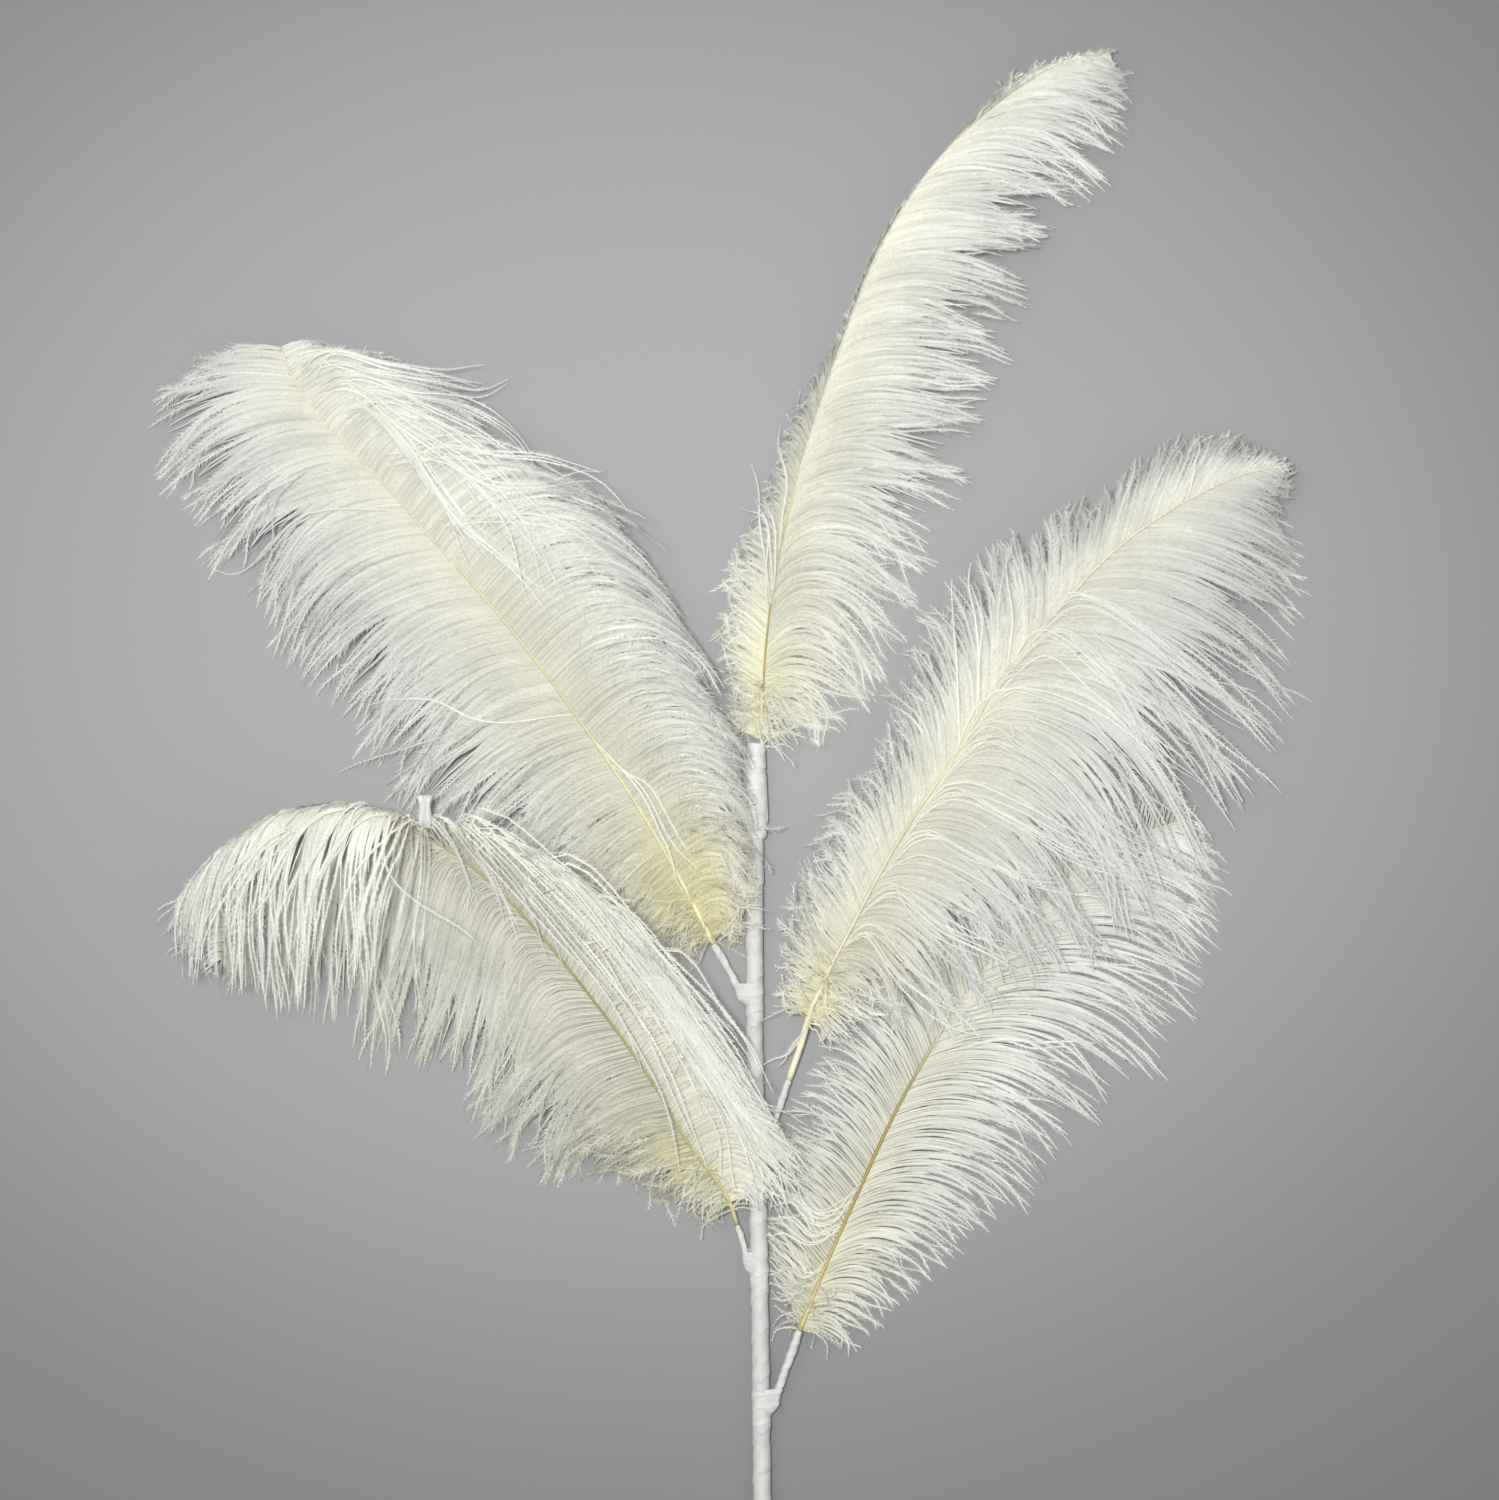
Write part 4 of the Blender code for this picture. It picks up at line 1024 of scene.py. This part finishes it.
def wound_pair(path, radius, low, high, rng, sides=44, gap=0.6):
    """Tape round the stem and a twig together, as one tight skin over both."""
    y = np.linspace(low, high, int((high - low) / gap) + 2)
    first = level(STEM_PATH, y)
    held = ramp(y, low + 0.1 * (high - low), low + TWIG_HELD * (high - low))
    second = first + (level(path, y) - first) * held[:, None]
    angle = turns(sides)
    relief, phase = tape_relief(y, angle, 8.5, 0.34, rng)
    normal = np.stack([np.cos(angle), np.zeros(sides), np.sin(angle)], -1)[None]
    reach = ((second - first)[:, None] * normal).sum(-1) + radius - STEM_RADIUS
    share = np.clip(0.5 + reach / 1.2, 0, 1)[..., None]
    centre = first[:, None] * (1 - share) + second[:, None] * share
    size = STEM_RADIUS * (1 - share) + radius * share
    lip = np.minimum(1.0, np.minimum(y - low, high - y) / 1.1) ** 0.5
    wall = ((0.12 + 0.16 * lip)[:, None] + relief * lip[:, None])[..., None]
    slant = 0.9 * np.sin(angle + rng.uniform(0, 6)) + 0.35 * np.sin(3 * angle)
    sections = centre + normal * (size + wall)
    squeeze = np.abs(2 * (y - low) / (high - low) - 1)**6
    sections[..., 1] += squeeze[:, None] * slant[None]
    points, faces = skin(sections, False)
    return points, faces, paper_colour(phase, rng, len(points))


def flap(corners, levels, rng, rows=8, columns=6):
    """A loose end of tape: a thin curled patch between four corners."""
    spots = np.array([(*layout(*corner), z) for corner, z in zip(corners, levels)])
    v, h = np.meshgrid(np.linspace(0, 1, rows), np.linspace(0, 1, columns), indexing="ij")
    v, h = v[..., None], h[..., None]
    top = spots[0] * (1 - h) + spots[1] * h
    low = spots[3] * (1 - h) + spots[2] * h
    patch = top * (1 - v) + low * v
    crown = (4 * h * (1 - h))[..., 0] * rng.uniform(0.3, 0.7)
    patch[..., 2] += crown + 0.2 * np.sin(5 * v[..., 0] + 3 * h[..., 0] + rng.uniform(0, 6))
    half = np.array([0.0, 0.0, FLAP_THICKNESS / 2])
    points = np.concatenate([(patch + half).reshape(-1, 3), (patch - half).reshape(-1, 3)])
    size = rows * columns
    index = np.arange(size).reshape(rows, columns)
    face = quads(index[:-1, :-1], index[1:, :-1], index[1:, 1:], index[:-1, 1:])
    rim = np.concatenate([index[0], index[1:, -1], index[-1, -2::-1], index[-2:0:-1, 0]])
    faces = np.concatenate([face, face[:, ::-1] + size, walls(np.stack([rim, rim + size]))])
    # Painted light: the flaps are painted brighter than the stem's tape, as the collar's band is.
    tone = 1.06 + 0.015 * rng.normal(0, 1, (len(points), 1))
    return points, faces, PAPER * 1.04 * tone


def tape_pieces(paper):
    """The taped stem, twigs, bindings and collar."""
    rng = np.random.default_rng(31)

    def dress(piece, node, *shells):
        declare(mesh_object(piece, shells, paper), "paper_tape", node)

    # Painted shade: the stem's tape is painted darker towards its foot.
    dress("tape_stem", "stem",
          wound(STEM_PATH, [STEM_RADIUS + 0.4, STEM_RADIUS + 0.1], [0, distances(STEM_PATH)[-1]],
                21.0, 0.3, rng, tones=(0.82, 0.97)))
    for place, (path, radius, (high, low)) in TWIGS.items():
        start = low + TWIG_HELD * (high - low)
        seen = np.vstack([level(path, [start]), [spot for spot in path if spot[1] > start + 0.5]])
        keys = np.array([0, 0.12, 0.55, 0.8, 0.96, 1]) * distances(seen)[-1]
        radii = radius * np.array([0.5, 0.95, 1, 1.05, 0.95, 0.8])
        dress(f"tape_twig_{place}", f"twig_{place}",
              wound(seen, radii, keys, 6.5, 0.24, rng, sides=20, gap=0.55))
        dress(f"tape_binding_{place}", f"binding_{place}",
              wound_pair(path, radius, low, high, rng))
    path, radii = zip(*COLLAR)
    # Painted light: the collar's band is painted brighter than the stem's tape.
    band = wound(path, radii, distances(path), 14.0, 0.3, rng, sides=40, gap=0.5,
                 tones=(1.16, 1.1))
    dress("tape_collar", "binding_top", band, *(flap(*ends, rng) for ends in COLLAR_FLAPS))


TAB_OUTLINE = [(336, 2.6), (343, 3.2), (347, 2.7), (352.5, 3.8)]     # (y, half width)
TAB_WAIST, TAB_GATHER = 345.5, 4.0                                   # y, and how far it reaches
TAB_FLARE = (347, 352.5)                                             # from y to y
TAB_TOP = 352.7                                                      # the solid's end in y
TAB_ROWS, TAB_COLUMNS = 22, 25
TAB_HALF = 0.12                                                      # half its thickness
# Painted light: the tab's white is painted lighter to make up for the shade the barbs above cast on
# it.
TAB_WHITE_PAINTED_LIGHT = np.array([0.80, 0.805, 0.78])


def tab_piece(material):
    """Pinched tab of tape, gathered in folds at its waist and flared at its free end."""
    y = np.linspace(TAB_OUTLINE[0][0], TAB_OUTLINE[-1][0], TAB_ROWS)
    half = blend([place for place, _ in TAB_OUTLINE], [[w] for _, w in TAB_OUTLINE], y)[:, 0]
    h = np.linspace(-1, 1, TAB_COLUMNS)
    waist = np.exp(-((y - TAB_WAIST) / TAB_GATHER)**2)
    fold = 0.5 * waist[:, None] * np.cos(h * 9.5)[None] + 0.25 * np.sin(h * 4 + 1)[None]
    x = TAB_CENTRE[0] + half[:, None] * h[None]
    rise = 0.35 * np.sin(2.6 * h)[None] * ramp(y, *TAB_FLARE)[:, None]
    rows = np.minimum(y[:, None] + rise, TAB_TOP)
    front, back = (np.stack([x, rows, TAB_CENTRE[2] + fold + lift], -1)
                   for lift in (TAB_HALF, -TAB_HALF))
    points, faces = skin(np.concatenate([front, back[:, ::-1]], axis=1), True)
    tone = np.repeat((0.86 + 0.12 * waist)[:, None], 2 * TAB_COLUMNS, axis=1)
    colour = (TAB_WHITE_PAINTED_LIGHT * tone[..., None]).reshape(-1, 3)
    shell = points, faces, np.vstack([colour, colour[-2:]])
    declare(mesh_object("pinched_tab", [shell], material), "clear_tape", "tape_tab")


def fill(tree, node, inputs):
    """Set a node's inputs, given by name or number, or link them where a socket is given."""
    for key, value in inputs.items():
        if isinstance(value, bpy.types.NodeSocket):
            tree.links.new(value, node.inputs[key])
        else:
            node.inputs[key].default_value = value
    return node


def add(tree, kind, inputs, **settings):
    """A new shader node with its settings and inputs."""
    node = tree.nodes.new("ShaderNode" + kind)
    for key, value in settings.items():
        setattr(node, key, value)
    return fill(tree, node, inputs)


def new_material(name, inputs):
    """A material, its node tree and its Principled shader with the given inputs."""
    mat = bpy.data.materials.new(name)
    mat.use_nodes = True
    tree = mat.node_tree
    return mat, tree, fill(tree, tree.nodes["Principled BSDF"], inputs)


def object_place(tree):
    return add(tree, "TexCoord", {}).outputs["Object"]


def tinted(tree):
    """The mesh's own colours."""
    return add(tree, "Attribute", {}, attribute_name="tint").outputs["Color"]


def noise(tree, vector, scale, detail):
    inputs = {"Vector": vector, "Scale": scale, "Detail": detail}
    return add(tree, "TexNoise", inputs).outputs["Fac"]


def mapped(tree, value, low, high, start=0.0, end=1.0):
    """The value's range from start to end, carried to low and high."""
    return add(tree, "MapRange", {"Value": value, "From Min": start, "From Max": end,
                                  "To Min": low, "To Max": high}).outputs["Result"]


def scaled(tree, colour, factor):
    return add(tree, "VectorMath", {0: colour, "Scale": factor},
               operation="SCALE").outputs["Vector"]


def mottled(tree, scales, low):
    """The tint, mottled by noises of the given scales: each takes it down to low at most."""
    place, colour = object_place(tree), tinted(tree)
    for scale in scales:
        colour = scaled(tree, colour, mapped(tree, noise(tree, place, scale, 2), low, 1.02,
                                             0.3, 0.6))
    return colour


def let_through(tree, shader, colour, share):
    """Mix a share of light that comes through from behind into the material."""
    glow = add(tree, "BsdfTranslucent", {"Color": colour})
    mix = add(tree, "MixShader", {"Fac": share, 1: shader.outputs["BSDF"],
                                  2: glow.outputs["BSDF"]})
    fill(tree, tree.nodes["Material Output"], {"Surface": mix.outputs["Shader"]})


def barb_material():
    """Soft barbs: their tint, mottled in broad patches and in fine flecks, and some glow."""
    mat, tree, shader = new_material("plume_barbs", {
        "Roughness": 0.62, "Specular IOR Level": 0.3, "Sheen Weight": 0.12})
    colour = mottled(tree, (35, 700), 0.94)
    fill(tree, shader, {"Base Color": colour})
    let_through(tree, shader, colour, 0.22)
    return mat


def shaft_material():
    """Horny shaft, a little glossy, with darker flecks in its length."""
    mat, tree, shader = new_material("plume_shaft", {"Roughness": 0.42})
    fill(tree, shader, {"Base Color": mottled(tree, (90, 1100), 0.86)})
    return mat


def paper_material():
    """Creased white paper tape: fine crinkles across it, and a soft patchy gloss."""
    mat, tree, shader = new_material("paper_tape", {})
    place = object_place(tree)
    cloud = noise(tree, place, 260, 4)
    stretched = add(tree, "Mapping", {"Vector": place, "Scale": (700, 2200, 700)})
    crinkle = noise(tree, stretched.outputs["Vector"], 1, 3)
    bump = add(tree, "Bump", {"Strength": 0.5, "Distance": 0.0003, "Height": crinkle})
    fill(tree, shader, {
        "Base Color": scaled(tree, tinted(tree), mapped(tree, cloud, 0.93, 1.05, 0.3, 0.7)),
        "Roughness": mapped(tree, cloud, 0.48, 0.78),
        "Normal": bump.outputs["Normal"]})
    return mat


def clear_tape_material():
    """Frosted clear tape: its tint, a streaky gloss, and light through it."""
    mat, tree, shader = new_material("clear_tape", {})
    colour = tinted(tree)
    gloss = mapped(tree, noise(tree, object_place(tree), 600, 2), 0.22, 0.5)
    fill(tree, shader, {"Base Color": colour, "Roughness": gloss})
    let_through(tree, shader, colour, 0.25)
    return mat


FLOOR_MIDDLE = (-0.02, 0.17, 0.0)
FLOOR_STRETCH = (0.92, 1.1, 1.0)
FLOOR_TONE = (0.985, 1.0, 1.012)
# A painted pool of light: the floor's grey is brightest at its middle and darkens outwards.
FLOOR_PAINTED_POOL = ((0.0, 0.350), (0.2, 0.330), (0.33, 0.285), (0.45, 0.210), (0.58, 0.168),
               (0.75, 0.130))  # (distance from the middle in metres, grey)


def floor_material():
    """Pale grey studio paper, with a painted pool of light: it darkens away from its middle."""
    mat, tree, shader = new_material("floor_grey", {"Roughness": 0.9, "Specular IOR Level": 0.2})
    stretched = add(tree, "VectorMath", {0: object_place(tree), 1: FLOOR_STRETCH},
                    operation="MULTIPLY")
    gap = add(tree, "VectorMath", {0: stretched.outputs["Vector"], 1: FLOOR_MIDDLE},
              operation="DISTANCE")
    fade = add(tree, "ValToRGB", {"Fac": gap.outputs["Value"]})
    fade.color_ramp.interpolation = "B_SPLINE"
    stops = fade.color_ramp.elements
    for _ in FLOOR_PAINTED_POOL[2:]:
        stops.new(0.5)
    for stop, (distance, grey) in zip(stops, FLOOR_PAINTED_POOL):
        stop.position = distance
        stop.color = (*(grey * tone for tone in FLOOR_TONE), 1)
    fill(tree, shader, {"Base Color": fade.outputs["Color"]})
    return mat


CAMERA_MIDDLE = np.array([-3.75, 375.0, 20.0])     # what it looks at, in the layout
CAMERA_HEIGHT = 4.0                                # metres above that
CAMERA_WIDTH = 0.75                                # metres that it takes in there
SENSOR = 36
LIGHTS = (                                         # name, place, size, watts, colour
    ("front", (-0.3, 0.3, 4.3), 0.5, 172, (1.0, 0.995, 0.98)),
    ("key", (-1.3, 1.2, 2.4), 2.2, 20, (1.0, 0.99, 0.965)),
    ("fill", (1.8, -0.6, 2.4), 2.6, 8, (0.98, 0.985, 1.0)),
)
ROOM_COLOUR, ROOM_STRENGTH = (0.98, 0.985, 1.0, 1), 0.18


def studio():
    """The camera over the spray, the floor, the room's light and three lamps."""
    scene = bpy.context.scene
    scene.view_settings.view_transform = "Standard"
    data = bpy.data.cameras.new("photo_camera")
    cam = linked("photo_camera", data)
    cam.location = (CAMERA_MIDDLE + SHIFT) * MM + UP * CAMERA_HEIGHT
    data.sensor_width = SENSOR
    data.lens = SENSOR * CAMERA_HEIGHT / CAMERA_WIDTH
    data.clip_start = 0.1
    data.clip_end = 100
    scene.camera = cam
    bpy.ops.mesh.primitive_plane_add(size=30, location=(0, 0, 0))
    floor = bpy.context.object
    floor.name = "floor"
    floor.data.materials.append(floor_material())
    scene.world = bpy.data.worlds.new("soft_room")
    scene.world.use_nodes = True
    fill(scene.world.node_tree, scene.world.node_tree.nodes["Background"],
         {"Color": ROOM_COLOUR, "Strength": ROOM_STRENGTH})
    for name, place, size, power, colour in LIGHTS:
        data = bpy.data.lights.new(name, "AREA")
        data.shape = "DISK"
        data.size = size
        data.energy = power
        data.color = colour
        light = linked(name, data)
        light.location = place
        light.rotation_euler = (-Vector(place)).to_track_quat("-Z", "Y").to_euler()


barbs = barb_material()
shafts = shaft_material()
for name, feather in FEATHERS.items():
    plume(name, feather, LOOKS[name], barbs)
    shaft(name, feather, shafts)
tape_pieces(paper_material())
tab_piece(clear_tape_material())
studio()
